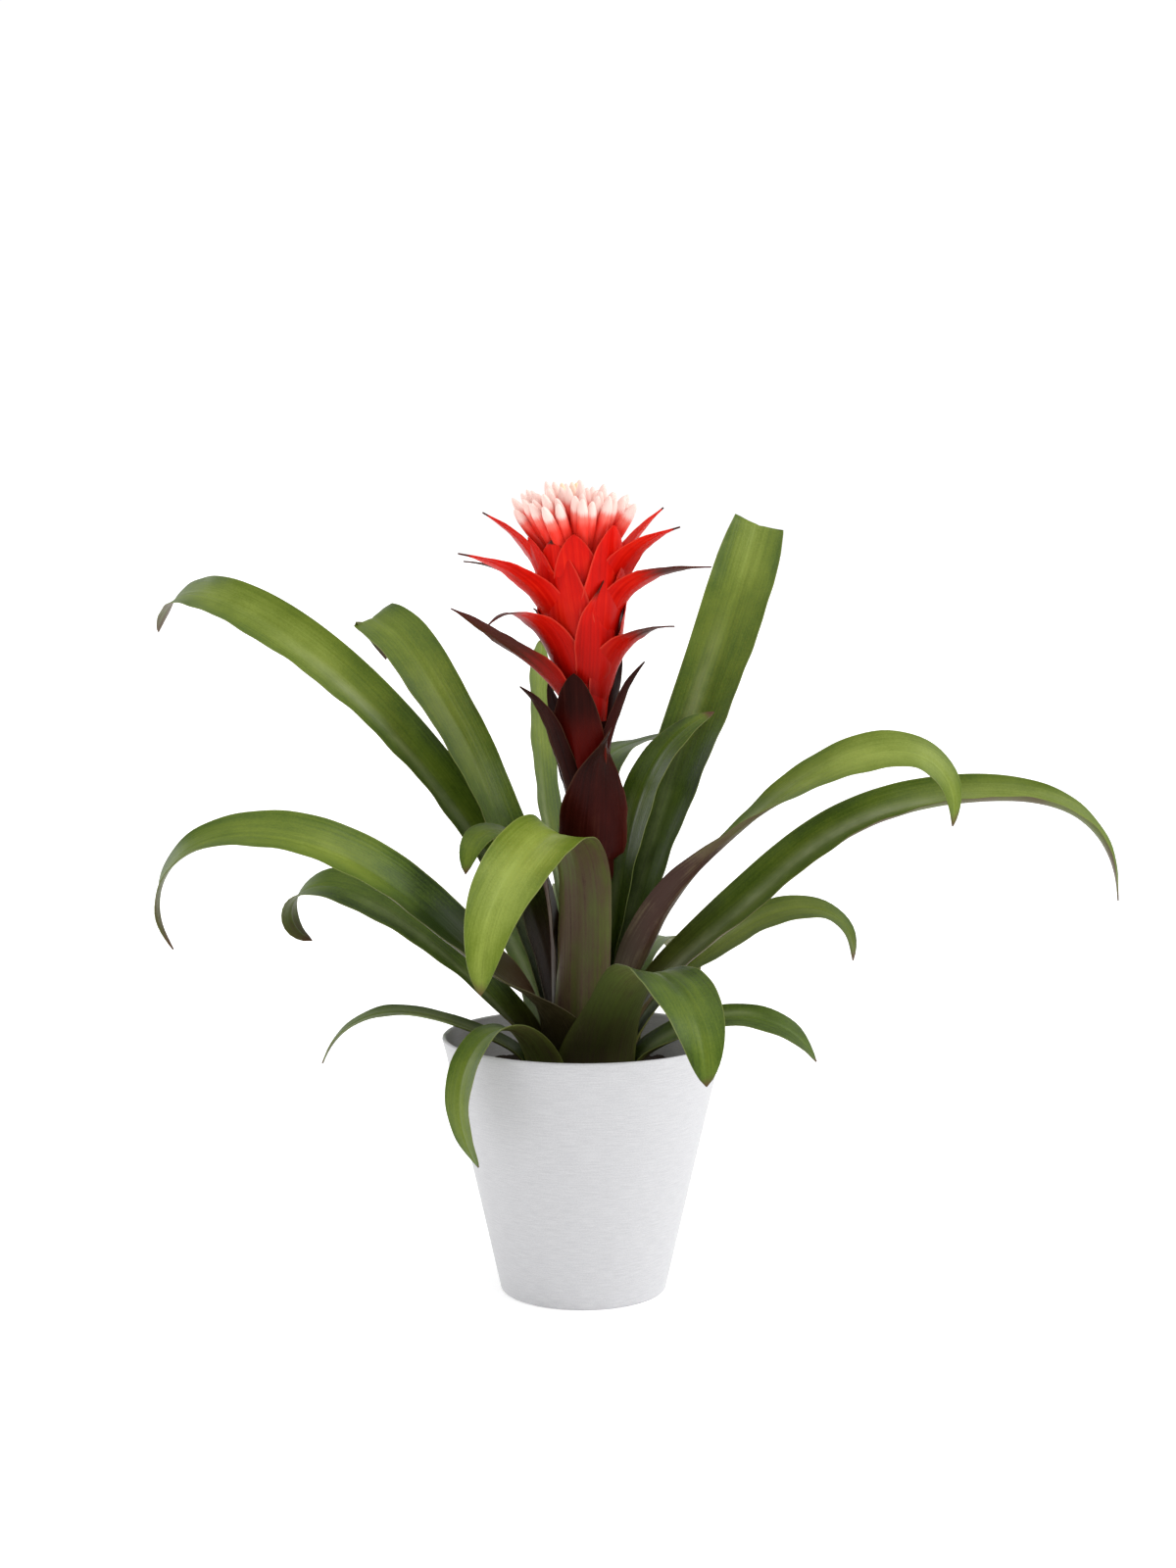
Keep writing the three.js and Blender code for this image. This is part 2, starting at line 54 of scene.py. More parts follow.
# Pot and potting mix
POT_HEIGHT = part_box("pot")[1].z / MM
POT_RIM_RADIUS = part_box("pot")[1].x / MM
POT_BASE_RADIUS = 41
POT_WALL = 2.2
POT_FLOOR = 3
FOOT_ROUND = 2
POT_SLOPE = (POT_RIM_RADIUS - POT_BASE_RADIUS) / POT_HEIGHT
POT_SIDES = 160
POT_WALL_RINGS = 24
POT_FLOOR_RING = 20
FIT_GAP = 0.3
SOIL_TOP = 109
SOIL_SINK = 1.5
SOIL_ROUGHNESS = 1.8
SOIL_GRAIN = 9
SOIL_LUMP_HEIGHT = 1.2
SOIL_LUMP_SIZE = 22
SOIL_EDGE = SOIL_TOP - 6
SOIL_RINGS = 46
SOIL_SIDES = 120

# Chips on top of the mix. Breadth, depth and lift are shares of a chip's size.
CHIP_COUNT = 520
CHIP_SEED = 5
CHIP_SPREAD = 0.93
CHIP_SIZES = (0.8, 3.4)
CHIP_UNEVENNESS = (0.7, 1.3)
CHIP_BREADTH = (0.35, 0.8)
CHIP_DEPTH = 0.35
CHIP_LIFT = 0.12
CHIP_TILT = 0.4
CHIP_TINT = 0.45
CHIP_GRAIN = 1.7

# Leaf blades and the sheaths at their feet, as in the solids
ROOT_HEIGHT = 100.3
INNERMOST_SHEATH = 9
SHEATH_STEP = 1.25
SHEATH_LENGTH = 60
SHEATH_STAND = 88
SHEATH_CLASP = 20
BLADE_THICKNESS = 0.8
BLADE_EDGE_THICKNESS = 0.35
BLADE_ROW = 3.2
BLADE_COLUMNS = 20
POINT_START = 0.66
POINT_FULLNESS = 0.7
WAIST = 0.9
TIP_HALF_WIDTH = 0.25
GUTTER = 0.8
FLATTENED = 0.3
FLATTENING_START = 0.3
FLATTENING_SPAN = 0.4
FOLD_LENGTH = 9
KEEL_DEPTH = 0.5
KEEL_WIDTH = 0.12
RIPPLE_HEIGHT = 0.4
RIPPLE_LENGTH = 46
RIPPLE_SEED = 3
SLENDER = 8
EDGE_SHADE = 0.45
# Painted highlight, a pale band along the blades: its place across a blade and strength, its width, the
# share of the length over which it fades in and out, and the share where it ends
PAINTED_SHEEN = (0.3, 1)
PAINTED_SHEEN_WIDTH = 0.22
PAINTED_SHEEN_FADE = 0.2
PAINTED_SHEEN_END = 0.75

# Steps through the pattern of veins and patches: to the next blade, to the underside of a blade
# and to the next floret
BLADE_STEP = 37
UNDERSIDE_STEP = 11
FLORET_STEP = 7

# Flower stalk, bracts and red head, as in the solids
STALK_RADIUS = 5
STALK_TOP = 284
BRACT_THICKNESS = 0.8
BRACT_EDGE_THICKNESS = 0.3
BRACT_ROWS = 26
BRACT_COLUMNS = 10
BRACT_CLASP = 12
BRACT_STAND = 60
BRACT_UPRIGHT = 5
BRACT_FOOT_SHARE = 0.32
BRACT_POINT = 0.42
SPREADING_POINT = 0.2
SPREADING_FULLNESS = 1.15
BROAD_POINT = 0.35
BROAD_FULLNESS = 0.7
BRACT_KEEL = 0.35
BRACT_RIPPLE_HEIGHT = 0.3
BRACT_RIPPLE_LENGTH = 22
BRACT_RIPPLE_SEED = 103
RED_BRACT_ORDER = 20
DARK_BRACT_ROOT = 4.4
RED_BRACT_ROOT = 8
HEAD_FOOT = STALK_TOP + FIT_GAP
HEAD_TOP = 362
HEAD_FOOT_RADIUS = 9
HEAD_TOP_RADIUS = 21
HEAD_BELLY = 0.5
BRACT_RING_SHARE = 0.75
HEAD_SIDES = 48
PATTERN_RADIUS = 20
# Height over which the painted shade low on the red head fades out
PAINTED_SHADE_RISE = 78

# Florets on a cushion on top of the head, as in the solids
CUSHION_FOOT = HEAD_TOP + FIT_GAP
CUSHION_RADIUS = 13.5
CUSHION_RISE = 8
CUSHION_SHOULDER = 0.88
FLORET_COUNT = 64
FLORET_LENGTH = 33
FLORET_RADIUS = 2.6
FLORET_SIDES = 10
FLORET_SPREAD = 0.94
FLORET_LEAN = 37
FLORET_SINK = 2
OUTER_SHORTENING = 0.04
LENGTH_SCATTER = 0.16
LEAN_SCATTER = 8
AZIMUTH_SCATTER = 8
FLORET_SEED = 11
GOLDEN_ANGLE = 137.508

# Camera of the photograph, in a pale studio
CAMERA_PLACE = (2.3, -1300, 388)
CAMERA_PITCH = 5.93
CAMERA_LENS = 61.1
FLOOR_SIZE = 40
FLOOR_GLOW = 0.28
ROOM_LIGHT = 0.73
SEEN_ROOM_LIGHT = 0.32

# Each leaf from the innermost to the outermost. climb is the angle above level at even steps
# from root to tip, sway turns the leaf aside from its azimuth, and roll twists the blade. sheath
# is half the width of its foot, and upright the distance over which it bends out of the rosette.
# point is the share of the length where the blade starts to narrow, and flat is how cupped its
# outer part stays. Two leaves fold over, by fold degrees at a distance of fold_at.
# fresh goes from deep green at 0 to yellow green at 1, and below 0 the green is evenly deep, as painted
# shade.
# bronze tints the underside, and from 0.6 also the upper face, which it darkens to a maroon that is partly
# painted shade.
# The painted sheen is a pale band of painted highlight across the blade: where it lies, between its edges at
# -1 and 1, and how strong the band is.
LEAVES = [
    dict(name="short_back", azimuth=74, length=228, width=25, sheath=10, upright=45,
         climb=[90, 95, 85, 71, 14, 10], sway=[0, 10, -35], roll=[0, 5, -5],
         fresh=[0.1, 0.1, 0.2, 0.2, 0.3], bronze=[1, 1, 0.7, 0.2, 0.3]),
    dict(name="centre_back", azimuth=112, length=275, width=21, sheath=12, upright=45, point=0.84,
         climb=[90, 85, 40, 50, 45, 35], sway=[0, -10, -25], roll=[0, 40, 55],
         fresh=[0.2, 0.3, 0.4, 0.6, 0.7], bronze=[1, 0.9, 0.3, 0.1, 0.1]),
    dict(name="pointed_right", azimuth=35, length=206, width=26, sheath=15, upright=45,
         climb=[90, 85, 80, 78, 58, 20], sway=[0, -10, -15], roll=[0, 10, 25],
         fresh=[0.1, 0.2, 0.3, 0.35, 0.4], bronze=[1, 0.5, 0.2, 0.2, 0.5]),
    dict(name="tall_right", azimuth=27, length=358, width=34, sheath=18, upright=45, point=0.74,
         fold_at=316, fold=-150, painted_sheen=(0.25, 1),
         climb=[80, 75, 70, 65, 60, 55, 45, 40], sway=[0, 20, 50], roll=[0, 15, 22],
         fresh=[0.15, 0.15, 0.2, 0.3, 0.5, 0.7, 0.6], bronze=[1, 0.4, 0.1, 0.1, 0.1]),
    dict(name="behind_left", azimuth=172, length=175, width=22, sheath=13, upright=40,
         climb=[90, 89, 88, 73, 15, -85], sway=[0, 0, 68], roll=[0, 0, -25],
         fresh=[0.1, 0.1, 0.3, 0.5, 0.5], bronze=[1, 1, 1, 0.7, 0.3]),
    dict(name="folded_upper_left", azimuth=132, length=310, width=30, sheath=18, upright=45, point=0.8,
         fold_at=282, fold=-140, painted_sheen=(0, 0),
         climb=[80, 75, 70, 65, 65, 55, 45, 15, 0], sway=[0, 20, -15], roll=[0, -15, -30],
         fresh=[0.1, 0.05, 0.1, 0.42, 0.55, 0.55, 0.5], bronze=[1, 1, 0.5, 0.2, 0.2, 0.5]),
    dict(name="arched_right", azimuth=-8, length=294, width=29, sheath=16, upright=40,
         climb=[90, 72, 46, 34, 3, -100], sway=[0, 18, 9], roll=[0, -45, -10, 35, 50],
         fresh=[0, 0.08, 0.42, 0.66, 0.9, 0.6], bronze=[1, 1, 0.9, 0.4, 0.2, 0.6]),
    dict(name="front_folded", azimuth=264, length=266, width=33, sheath=20, upright=40,
         climb=[80, 95, 75, -5, -35, -90], sway=[0, -15, -20], roll=[0, -15, -30],
         fresh=[0.2, 0.35, 0.5, 0.8, 1, 0.75], bronze=[0.7, 0.6, 0.5, 0.3, 0.3]),
    dict(name="long_upper_left", azimuth=127, length=405, width=29, sheath=22, upright=40, flat=0.5,
         climb=[85, 61, 53, 40, 12, -40], sway=[0, 50, -15], roll=[0, -45, -35],
         fresh=[0.35, 0.4, 0.38, 0.45, 0.8, 0.62, 0.35], bronze=[1, 0.65, 0.5, 0.4, 0.2, 0.7]),
    dict(name="long_right", azimuth=8, length=357, width=30, sheath=22, upright=35,
         flat=1.1, painted_sheen=(0.05, 2),
         climb=[85, 42, 37, 11, -13, -88], sway=[0, 8, -10], roll=[0, 25, 25, 10],
         fresh=[0.2, 0.35, 0.45, 0.5, 0.78, 0.7], bronze=[1, 0.8, 0.6, 0.5, 0.4, 0.5]),
    dict(name="wide_left", azimuth=232, length=306, width=35, sheath=26, upright=35,
         flat=0.6, point=0.56, painted_sheen=(0, 0),
         climb=[105, 38, 43, 24, -20, -122], sway=[0, -35, -55], roll=[0, -40, -30, 0],
         fresh=[-0.3, -0.3, -0.05, 0.64, 0.45, 0.3], bronze=[1, 0.9, 0.6, 0.2, 0.2, 0.5]),
    dict(name="low_right", azimuth=21, length=185, width=20, sheath=22, upright=30,
         climb=[85, 55, 30, 25, -10, -95], sway=[0, 5, -25], roll=[0, 25, 30],
         fresh=[0.2, 0.45, 0.66, 0.66, 0.45], bronze=[1, 0.6, 0.4, 0.4, 0.8]),
    dict(name="curled_left", azimuth=183, length=203, width=26, sheath=22, upright=30, point=0.7,
         climb=[90, 54, 45, 35, 22, -30, -165], sway=[0, -15, -20], roll=[0, -25, -35, -30, 25],
         fresh=[0.1, 0.2, 0.25, 0.3, 0.3], bronze=[1, 0.7, 0.5, 0.3, 0.45]),
    dict(name="front_right", azimuth=293, length=198, width=33, sheath=27, upright=28,
         climb=[90, 55, 30, 3, -30, -90], sway=[0, -5, 0], roll=[0, -5, 10],
         fresh=[0, 0, 0.15, 0.35, 0.4], bronze=[0.85, 0.3, 0.2, 0.2, 0.3]),
    dict(name="hanging_right", azimuth=4, length=116, width=21, sheath=18, upright=22,
         climb=[75, 36, 24, 0, -30, -60], sway=[0, -10, 0], roll=[0, 25, 25],
         fresh=[0.1, 0.2, 0.25, 0.3, 0.3], bronze=[0.6, 0.4, 0.2, 0.3, 0.4]),
    dict(name="thin_left", azimuth=177, length=131, width=20, sheath=13, upright=22,
         climb=[75, 30, 20, 5, -30, -70], sway=[0, 5, 5], roll=[0, -5, 0],
         fresh=[0.2, 0.4, 0.5, 0.45, 0.4], bronze=[0.6, 0.3, 0.1, 0.1, 0.3]),
    dict(name="over_rim", azimuth=229, length=143, width=19, sheath=14, upright=22, painted_sheen=(0.3, 0.4),
         climb=[90, 50, 5, -50, -100, -125], sway=[0, 5, -5], roll=[0, 5, 5],
         fresh=[0.2, 0.3, 0.42, 0.58, 0.55], bronze=[0.6, 0.4, 0.2, 0.3, 0.4]),
    dict(name="low_back", azimuth=92, length=205, width=26, sheath=22, upright=25,
         climb=[90, 65, 35, 5, -35, -80], sway=[0, 0, 0], roll=[0, 0, 0],
         fresh=[0.2, 0.2, 0.3, 0.5, 0.4], bronze=[0.8, 0.5, 0.3, 0.3, 0.6]),
    dict(name="low_back_left", azimuth=118, length=168, width=24, sheath=17, upright=24,
         climb=[90, 55, 40, 15, -25, -70], sway=[0, 0, 0], roll=[0, -5, -5],
         fresh=[0.2, 0.2, 0.3, 0.4, 0.4], bronze=[0.8, 0.5, 0.3, 0.3, 0.6]),
    dict(name="low_back_right", azimuth=66, length=165, width=24, sheath=22, upright=22,
         climb=[90, 55, 30, 0, -35, -75], sway=[0, 0, 0], roll=[0, 0, 0],
         fresh=[0.2, 0.2, 0.3, 0.4, 0.4], bronze=[0.8, 0.5, 0.3, 0.3, 0.6]),
]

# Dark bracts that clasp the stalk, the lower ones first. flush is how red the bract is.
DARK_BRACTS = [
    dict(azimuth=-38, foot=176, length=52, width=16, climb=[88, 82, 80, 80], flush=0),
    dict(azimuth=84, foot=206, length=60, width=20, climb=[78, 78, 76, 74], flush=0),
    dict(azimuth=-76, foot=206, length=80, width=38, climb=[60, 76, 86, 62], sway=[0, 0, 30, 75], flush=0.1),
    dict(azimuth=140, foot=222, length=82, width=18, climb=[74, 76, 78, 74], flush=0),
    dict(azimuth=222, foot=226, length=88, width=15, climb=[74, 72, 66, 30], flush=0),
    dict(azimuth=42, foot=246, length=92, width=13, climb=[74, 77, 78, 78], flush=0.1),
    dict(azimuth=-34, foot=250, length=72, width=10, climb=[76, 72, 64, 42], flush=0.1),
    dict(azimuth=-108, foot=246, length=66, width=28, climb=[42, 74, 88, 94], flush=0.8),
]

# Red bracts that stand away from the head, the lower ones first. dark is the share of the bract
# that the maroon of its tip reaches over.
SPREADING_BRACTS = [
    dict(azimuth=196, foot=288, length=78, width=29, climb=[62, 49, 38, 38, 26],
         roll=[0, 10, 22], dark=0.85),
    dict(azimuth=-28, foot=292, length=63, width=27, climb=[76, 72, 46, 20, 0], roll=[0, -10, 0], dark=0.45),
    dict(azimuth=214, foot=297, length=70, width=28, climb=[74, 70, 50, 8, -40], roll=[0, 10, 0], dark=0.3),
    dict(azimuth=78, foot=298, length=50, width=20, climb=[70, 60, 40, 15], dark=0.4),
    dict(azimuth=128, foot=300, length=50, width=20, climb=[72, 64, 46, 20], dark=0.4),
    dict(azimuth=-28, foot=308, length=92, width=24, climb=[82, 78, 54, 24, 8, 0],
         roll=[0, -15, -10], dark=0.45),
    dict(azimuth=212, foot=306, length=91, width=26, climb=[80, 78, 60, 36, 18, 10],
         roll=[0, 15, 10], dark=0.08),
    dict(azimuth=168, foot=308, length=79, width=26, climb=[80, 75, 53, 25, 4], roll=[0, 10, 10], dark=0.3),
    dict(azimuth=100, foot=316, length=60, width=22, climb=[78, 66, 44, 20], dark=0.2),
    dict(azimuth=46, foot=316, length=58, width=22, climb=[78, 68, 50, 30], dark=0.2),
    dict(azimuth=-34, foot=314, length=89, width=25, climb=[84, 78, 58, 28, 14],
         roll=[0, -15, -10], dark=0.06),
    dict(azimuth=140, foot=320, length=52, width=22, climb=[82, 74, 62, 50], dark=0.1),
    dict(azimuth=190, foot=322, length=75, width=26, climb=[70, 80, 74, 46, 30],
         roll=[0, 10, 15], dark=0.05),
    dict(azimuth=-8, foot=322, length=76, width=26, climb=[70, 78, 76, 48, 38],
         roll=[0, -10, -15], dark=0.02),
    dict(azimuth=72, foot=330, length=54, width=22, climb=[80, 74, 64, 50], dark=0.06),
]

# Broad upright bracts on the front of the head
BROAD_BRACTS = [
    dict(azimuth=-66, foot=299, length=58, width=24, climb=[60, 78, 88, 62], sway=[0, 0, 20, 80], dark=0.22),
    dict(azimuth=-122, foot=310, length=64, width=32, climb=[64, 80, 84, 84], dark=0.04),
    dict(azimuth=-48, foot=314, length=68, width=30, climb=[64, 78, 80, 72], dark=0),
    dict(azimuth=-92, foot=328, length=49, width=26, climb=[64, 78, 78, 72], dark=0),
    dict(azimuth=-152, foot=326, length=50, width=24, climb=[64, 80, 76, 66], dark=0),
    dict(azimuth=-18, foot=324, length=48, width=24, climb=[60, 72, 72, 64], dark=0),
]

# Upright red bracts that overlap round the back of the head
CLASPING_COUNT = 7
CLASPING_FIRST_AZIMUTH = 5
CLASPING_TURN = 77
CLASPING_ARC = 180
CLASPING_FOOT = 300
CLASPING_STEP = 4
CLASPING_LENGTH = 50
CLASPING_WIDTH = 26
CLASPING_CLIMB = [60, 74, 80, 74]

# The stalk bows a little to the right and the head leans back over it to the left.
BOW_START = 110
BOW_SPAN = 290
BOW = 24
BOW_RETURN = 0.75


# Shapes


def mix(start, end, share):
    return start + (end - start) * share


def ease(value):
    """A step from 0 to 1 with soft ends."""
    t = np.clip(value, 0, 1)
    return t * t * (3 - 2 * t)


def through(values, share):
    """A smooth curve through evenly spaced values, read at shares of its length."""
    values = np.asarray(values, float)
    last = len(values) - 1
    place = np.clip(share, 0, 1) * last
    index = np.minimum(np.floor(place).astype(int), last - 1)
    f = place - index
    before = values[np.maximum(index - 1, 0)]
    start = values[index]
    end = values[index + 1]
    after = values[np.minimum(index + 2, last)]
    bend = 2 * before - 5 * start + 4 * end - after + f * (3 * (start - end) + after - before)
    return start + 0.5 * f * (end - before + f * bend)


def midrib(blade, rows):
    """Places along the middle of a blade, each with its side and face directions."""
    fine = 8
    share = np.linspace(0, 1, rows * fine + 1)
    distance = share * blade["length"]
    free = ease(distance / blade["upright"])
    creased = ease((distance - blade["fold_at"]) / FOLD_LENGTH + 0.5)
    climb = mix(blade["stand"], through(blade["climb"], share), free) + blade["fold"] * creased
    climb = np.radians(climb)
    azimuth = math.radians(blade["azimuth"])
    heading = azimuth + np.radians(through(blade["sway"], share) * free)
    roll = np.radians(through(blade["roll"], share) * ease(distance / (2 * blade["upright"])))[:, None]
    along = np.stack([np.cos(climb) * np.cos(heading), np.cos(climb) * np.sin(heading), np.sin(climb)], 1)
    root = [blade["root"] * math.cos(azimuth), blade["root"] * math.sin(azimuth), blade["foot"]]
    steps = (along[1:] + along[:-1]) * blade["length"] / len(along[1:]) / 2
    points = np.concatenate([[root], root + np.cumsum(steps, 0)])
    level = np.stack([-np.sin(heading), np.cos(heading), 0 * heading], 1)
    face = np.cross(along, level)
    side = level * np.cos(roll) + face * np.sin(roll)
    face = face * np.cos(roll) - level * np.sin(roll)
    return tuple(values[::fine] for values in (share, distance, points, side, face))


def half_width(blade, share, distance):
    """Half the width of a blade: a broad sheath, a slight waist and a long point."""
    full = blade["width"] / 2
    width = mix(blade["sheath"], full * WAIST, ease(distance / blade["sheath_length"]))
    width = width + full * (1 - WAIST) * ease(distance / blade["sheath_length"] - 1)
    end = np.clip((share - blade["point"]) / (1 - blade["point"]), 0, 1)
    return np.maximum(width * (1 - end * end) ** blade["fullness"], TIP_HALF_WIDTH)


def cupping(blade, share, distance):
    """How strongly a blade is cupped: round the axis at its foot, then a shallow gutter."""
    gutter = GUTTER / (blade["width"] / 2)
    flat = blade["flat"] / (blade["width"] / 2)
    opened = ease((distance - blade["clasp_end"]) / blade["open_length"])
    flattened = ease((share - FLATTENING_START) / FLATTENING_SPAN)
    return mix(1 / blade["root"], gutter, opened) + (flat - gutter) * flattened


def bowed(vertices):
    """The flower's vertices, moved aside by the bow of the stalk."""
    rise = np.clip((vertices[:, 2] - BOW_START) / BOW_SPAN, 0, None)
    return vertices + np.stack([BOW * rise * (BOW_RETURN - rise), 0 * rise, 0 * rise], 1)


def blade_mesh(blade, rows, columns, draw):
    """Vertices, faces and marks of a closed blade with thin edges, a keel and rippled margins.

    The ripple and the keel fade where half the width is less than SLENDER.
    """
    share, distance, points, side, face = midrib(blade, rows)
    width = half_width(blade, share, distance)[:, None]
    bend = cupping(blade, share, distance)[:, None]
    across = np.linspace(-1, 1, columns + 1)[None, :]
    turn = bend * width * across
    edge = np.abs(across)
    phases = draw.uniform(0, 2 * math.pi, 2)
    broad = np.minimum(1, width / SLENDER)
    loose = ease(distance / blade["sheath_length"] - 0.5)[:, None] * broad
    phase = np.where(across < 0, phases[0], phases[1])
    wave = 2 * math.pi * distance[:, None] / blade["ripple_length"]
    swing = np.sin(wave + phase) + 0.5 * np.sin(2.3 * wave + 2 * phase)
    ripple = blade["ripple"] * loose * edge ** 3 * swing
    keel = -blade["keel"] * np.exp(-((across / KEEL_WIDTH) ** 2)) * broad
    half = mix(blade["thickness"], blade["edge_thickness"], edge ** 4) / 2
    vertices = []
    for half_side in (half, -half):
        radius = 1 / bend - half_side - ripple - keel
        shift = np.sin(turn) * radius
        lift = 1 / bend - np.cos(turn) * radius
        grid = points[:, None] + side[:, None] * shift[..., None] + face[:, None] * lift[..., None]
        vertices.append(grid.reshape(-1, 3))
    ones = np.ones((rows + 1, columns + 1))
    pattern = ones * BLADE_STEP * blade["order"]
    place = np.stack([across * width, distance[:, None] * ones, pattern], -1).reshape(-1, 3)
    marks = {
        "place": np.concatenate([place, place + [0, 0, UNDERSIDE_STEP]]),
        "share": np.tile((share[:, None] * ones).ravel(), 2),
        "edge": np.tile((edge * ones).ravel(), 2),
        "under": np.repeat([0.0, 1.0], ones.size),
    }
    return np.concatenate(vertices), closed_sheet(rows, columns), marks


def closed_sheet(rows, columns):
    """Faces of two grids of vertices that lie back to back and are joined round their rim."""
    row = columns + 1
    under = (rows + 1) * row
    corner = (np.arange(rows)[:, None] * row + np.arange(columns)[None, :]).ravel()
    upper = np.stack([corner, corner + row, corner + row + 1, corner + 1], 1)
    lower = under + upper[:, ::-1]
    rim = np.concatenate([
        np.arange(columns),
        np.arange(rows) * row + columns,
        rows * row + np.arange(columns, 0, -1),
        np.arange(rows, 0, -1) * row,
    ])
    after = np.roll(rim, -1)
    band = np.stack([rim, after, under + after, under + rim], 1)
    return np.concatenate([upper, lower, band])


def turned_mesh(outline, sides):
    """Vertices and faces of an outline of radius and height turned about Z."""
    outline = np.asarray(outline, float)
    angle = 2 * math.pi * np.arange(sides) / sides
    ring = np.stack([np.cos(angle), np.sin(angle)], 1)
    vertices = np.concatenate([
        outline[:, None, 0, None] * ring[None],
        np.broadcast_to(outline[:, None, 1, None], (len(outline), sides, 1)),
    ], 2).reshape(-1, 3)
    corner = np.arange(len(outline) - 1)[:, None] * sides + np.arange(sides)[None, :]
    beside = np.arange(len(outline) - 1)[:, None] * sides + (np.arange(sides)[None, :] + 1) % sides
    faces = np.stack([corner, beside, beside + sides, corner + sides], -1).reshape(-1, 4)
    return vertices, faces


def joined(parts):
    """Several sets of vertices, faces and marks as one, with the marks that all of them have."""
    offset = np.cumsum([0] + [len(part[0]) for part in parts])
    vertices = np.concatenate([part[0] for part in parts])
    faces = np.concatenate([part[1] + start for part, start in zip(parts, offset)])
    names = [name for name in parts[0][2] if all(name in part[2] for part in parts)]
    marks = {name: np.concatenate([part[2][name] for part in parts]) for name in names}
    return vertices, faces, marks


def add_piece(name, vertices, faces, marks, material, node, crisp=50):
    """A smooth mesh in place of a node of the solids. Edges stay sharp above crisp degrees."""
    mesh = bpy.data.meshes.new(name)
    mesh.from_pydata((np.asarray(vertices) * MM).tolist(), [], np.asarray(faces).tolist())
    for mark, values in marks.items():
        values = np.asarray(values, np.float32)
        kind, field = ("FLOAT_VECTOR", "vector") if values.ndim == 2 else ("FLOAT", "value")
        mesh.attributes.new(mark, kind, "POINT").data.foreach_set(field, values.ravel())
    weld(mesh)
    mesh.shade_smooth()
    mesh.set_sharp_from_angle(angle=math.radians(crisp))
    mesh.materials.append(material)
    piece = bpy.data.objects.new(name, mesh)
    bpy.context.scene.collection.objects.link(piece)
    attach(piece, "root")
    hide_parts(node)


def weld(mesh):
    """Merges the vertices that lie on one point, as at the axis of a turned shape."""
    work = bmesh.new()
    work.from_mesh(mesh)
    bmesh.ops.remove_doubles(work, verts=work.verts, dist=1e-6)
    bmesh.ops.dissolve_degenerate(work, edges=work.edges, dist=1e-7)
    work.to_mesh(mesh)
    work.free()


# Finishes


def linear(red, green, blue):
    """A colour given as a screen shows it, 0 to 255, in linear light."""
    shown = np.array([red, green, blue]) / 255
    light = np.where(shown <= 0.04045, shown / 12.92, ((shown + 0.055) / 1.055) ** 2.4)
    return (*light.tolist(), 1)


def put(tree, kind, inputs=None, **settings):
    """Adds a shader node. inputs are values, or the sockets that feed it."""
    made = tree.nodes.new(kind)
    for name, value in settings.items():
        setattr(made, name, value)
    for name, value in (inputs or {}).items():
        if isinstance(value, bpy.types.NodeSocket):
            tree.links.new(value, made.inputs[name])
        else:
            made.inputs[name].default_value = value
    return made


def mark(tree, name):
    return put(tree, "ShaderNodeAttribute", attribute_name=name)


def maths(tree, operation, *values):
    return put(tree, "ShaderNodeMath", dict(enumerate(values)), operation=operation).outputs[0]


def blend(tree, share, first, second, mode="MIX"):
    made = put(tree, "ShaderNodeMix", {0: share, 6: first, 7: second}, data_type="RGBA", blend_type=mode)
    return made.outputs[2]


def spread(tree, value, low, high, to_low=0.0, to_high=1.0):
    """Stretches the values between low and high, with soft ends."""
    inputs = {"Value": value, "From Min": low, "From Max": high, "To Min": to_low, "To Max": to_high}
    return put(tree, "ShaderNodeMapRange", inputs, interpolation_type="SMOOTHSTEP").outputs[0]


def grain(tree, place, stretch, detail=2.0, roughness=0.5):
    """A noise whose cells are stretched along each axis."""
    scaled = put(tree, "ShaderNodeVectorMath", {0: place, 1: stretch}, operation="MULTIPLY").outputs[0]
    return put(tree, "ShaderNodeTexNoise",
               {"Vector": scaled, "Scale": 1.0, "Detail": detail, "Roughness": roughness}).outputs[0]


def ramp(tree, value, *stops):
    """A colour that changes with value through stops of place and colour."""
    made = put(tree, "ShaderNodeValToRGB", {0: value})
    elements = made.color_ramp.elements
    while len(elements) < len(stops):
        elements.new(0.5)
    for element, (position, colour) in zip(elements, stops):
        element.position = position
        element.color = colour
    return made.outputs[0]


def new_group(name, inputs, outputs):
    group = bpy.data.node_groups.new(name, "ShaderNodeTree")
    for socket, kind in inputs.items():
        group.interface.new_socket(socket, in_out="INPUT", socket_type="NodeSocket" + kind)
    for socket, kind in outputs.items():
        group.interface.new_socket(socket, in_out="OUTPUT", socket_type="NodeSocket" + kind)
    return group, group.nodes.new("NodeGroupInput"), group.nodes.new("NodeGroupOutput")


def vein_group():
    """Fine veins that run along a blade, soft patches of shade, and its speckled skin."""
    group, given, result = new_group(
        "blade_veins",
        {"Place": "Vector"},
        {"Veins": "Float", "Patches": "Float", "Speckle": "Float", "Height": "Float"})
    place = given.outputs["Place"]
    veins = spread(group, grain(group, place, (0.85, 0.012, 1), 3), 0.3, 0.7)
    patches = spread(group, grain(group, place, (0.05, 0.026, 1), 3, 0.6), 0.3, 0.7)
    speckle = grain(group, place, (1.1, 0.7, 1), 3, 0.7)
    height = maths(group, "ADD", veins, speckle)
    group.links.new(veins, result.inputs["Veins"])
    group.links.new(patches, result.inputs["Patches"])
    group.links.new(speckle, result.inputs["Speckle"])
    group.links.new(height, result.inputs["Height"])
    return group


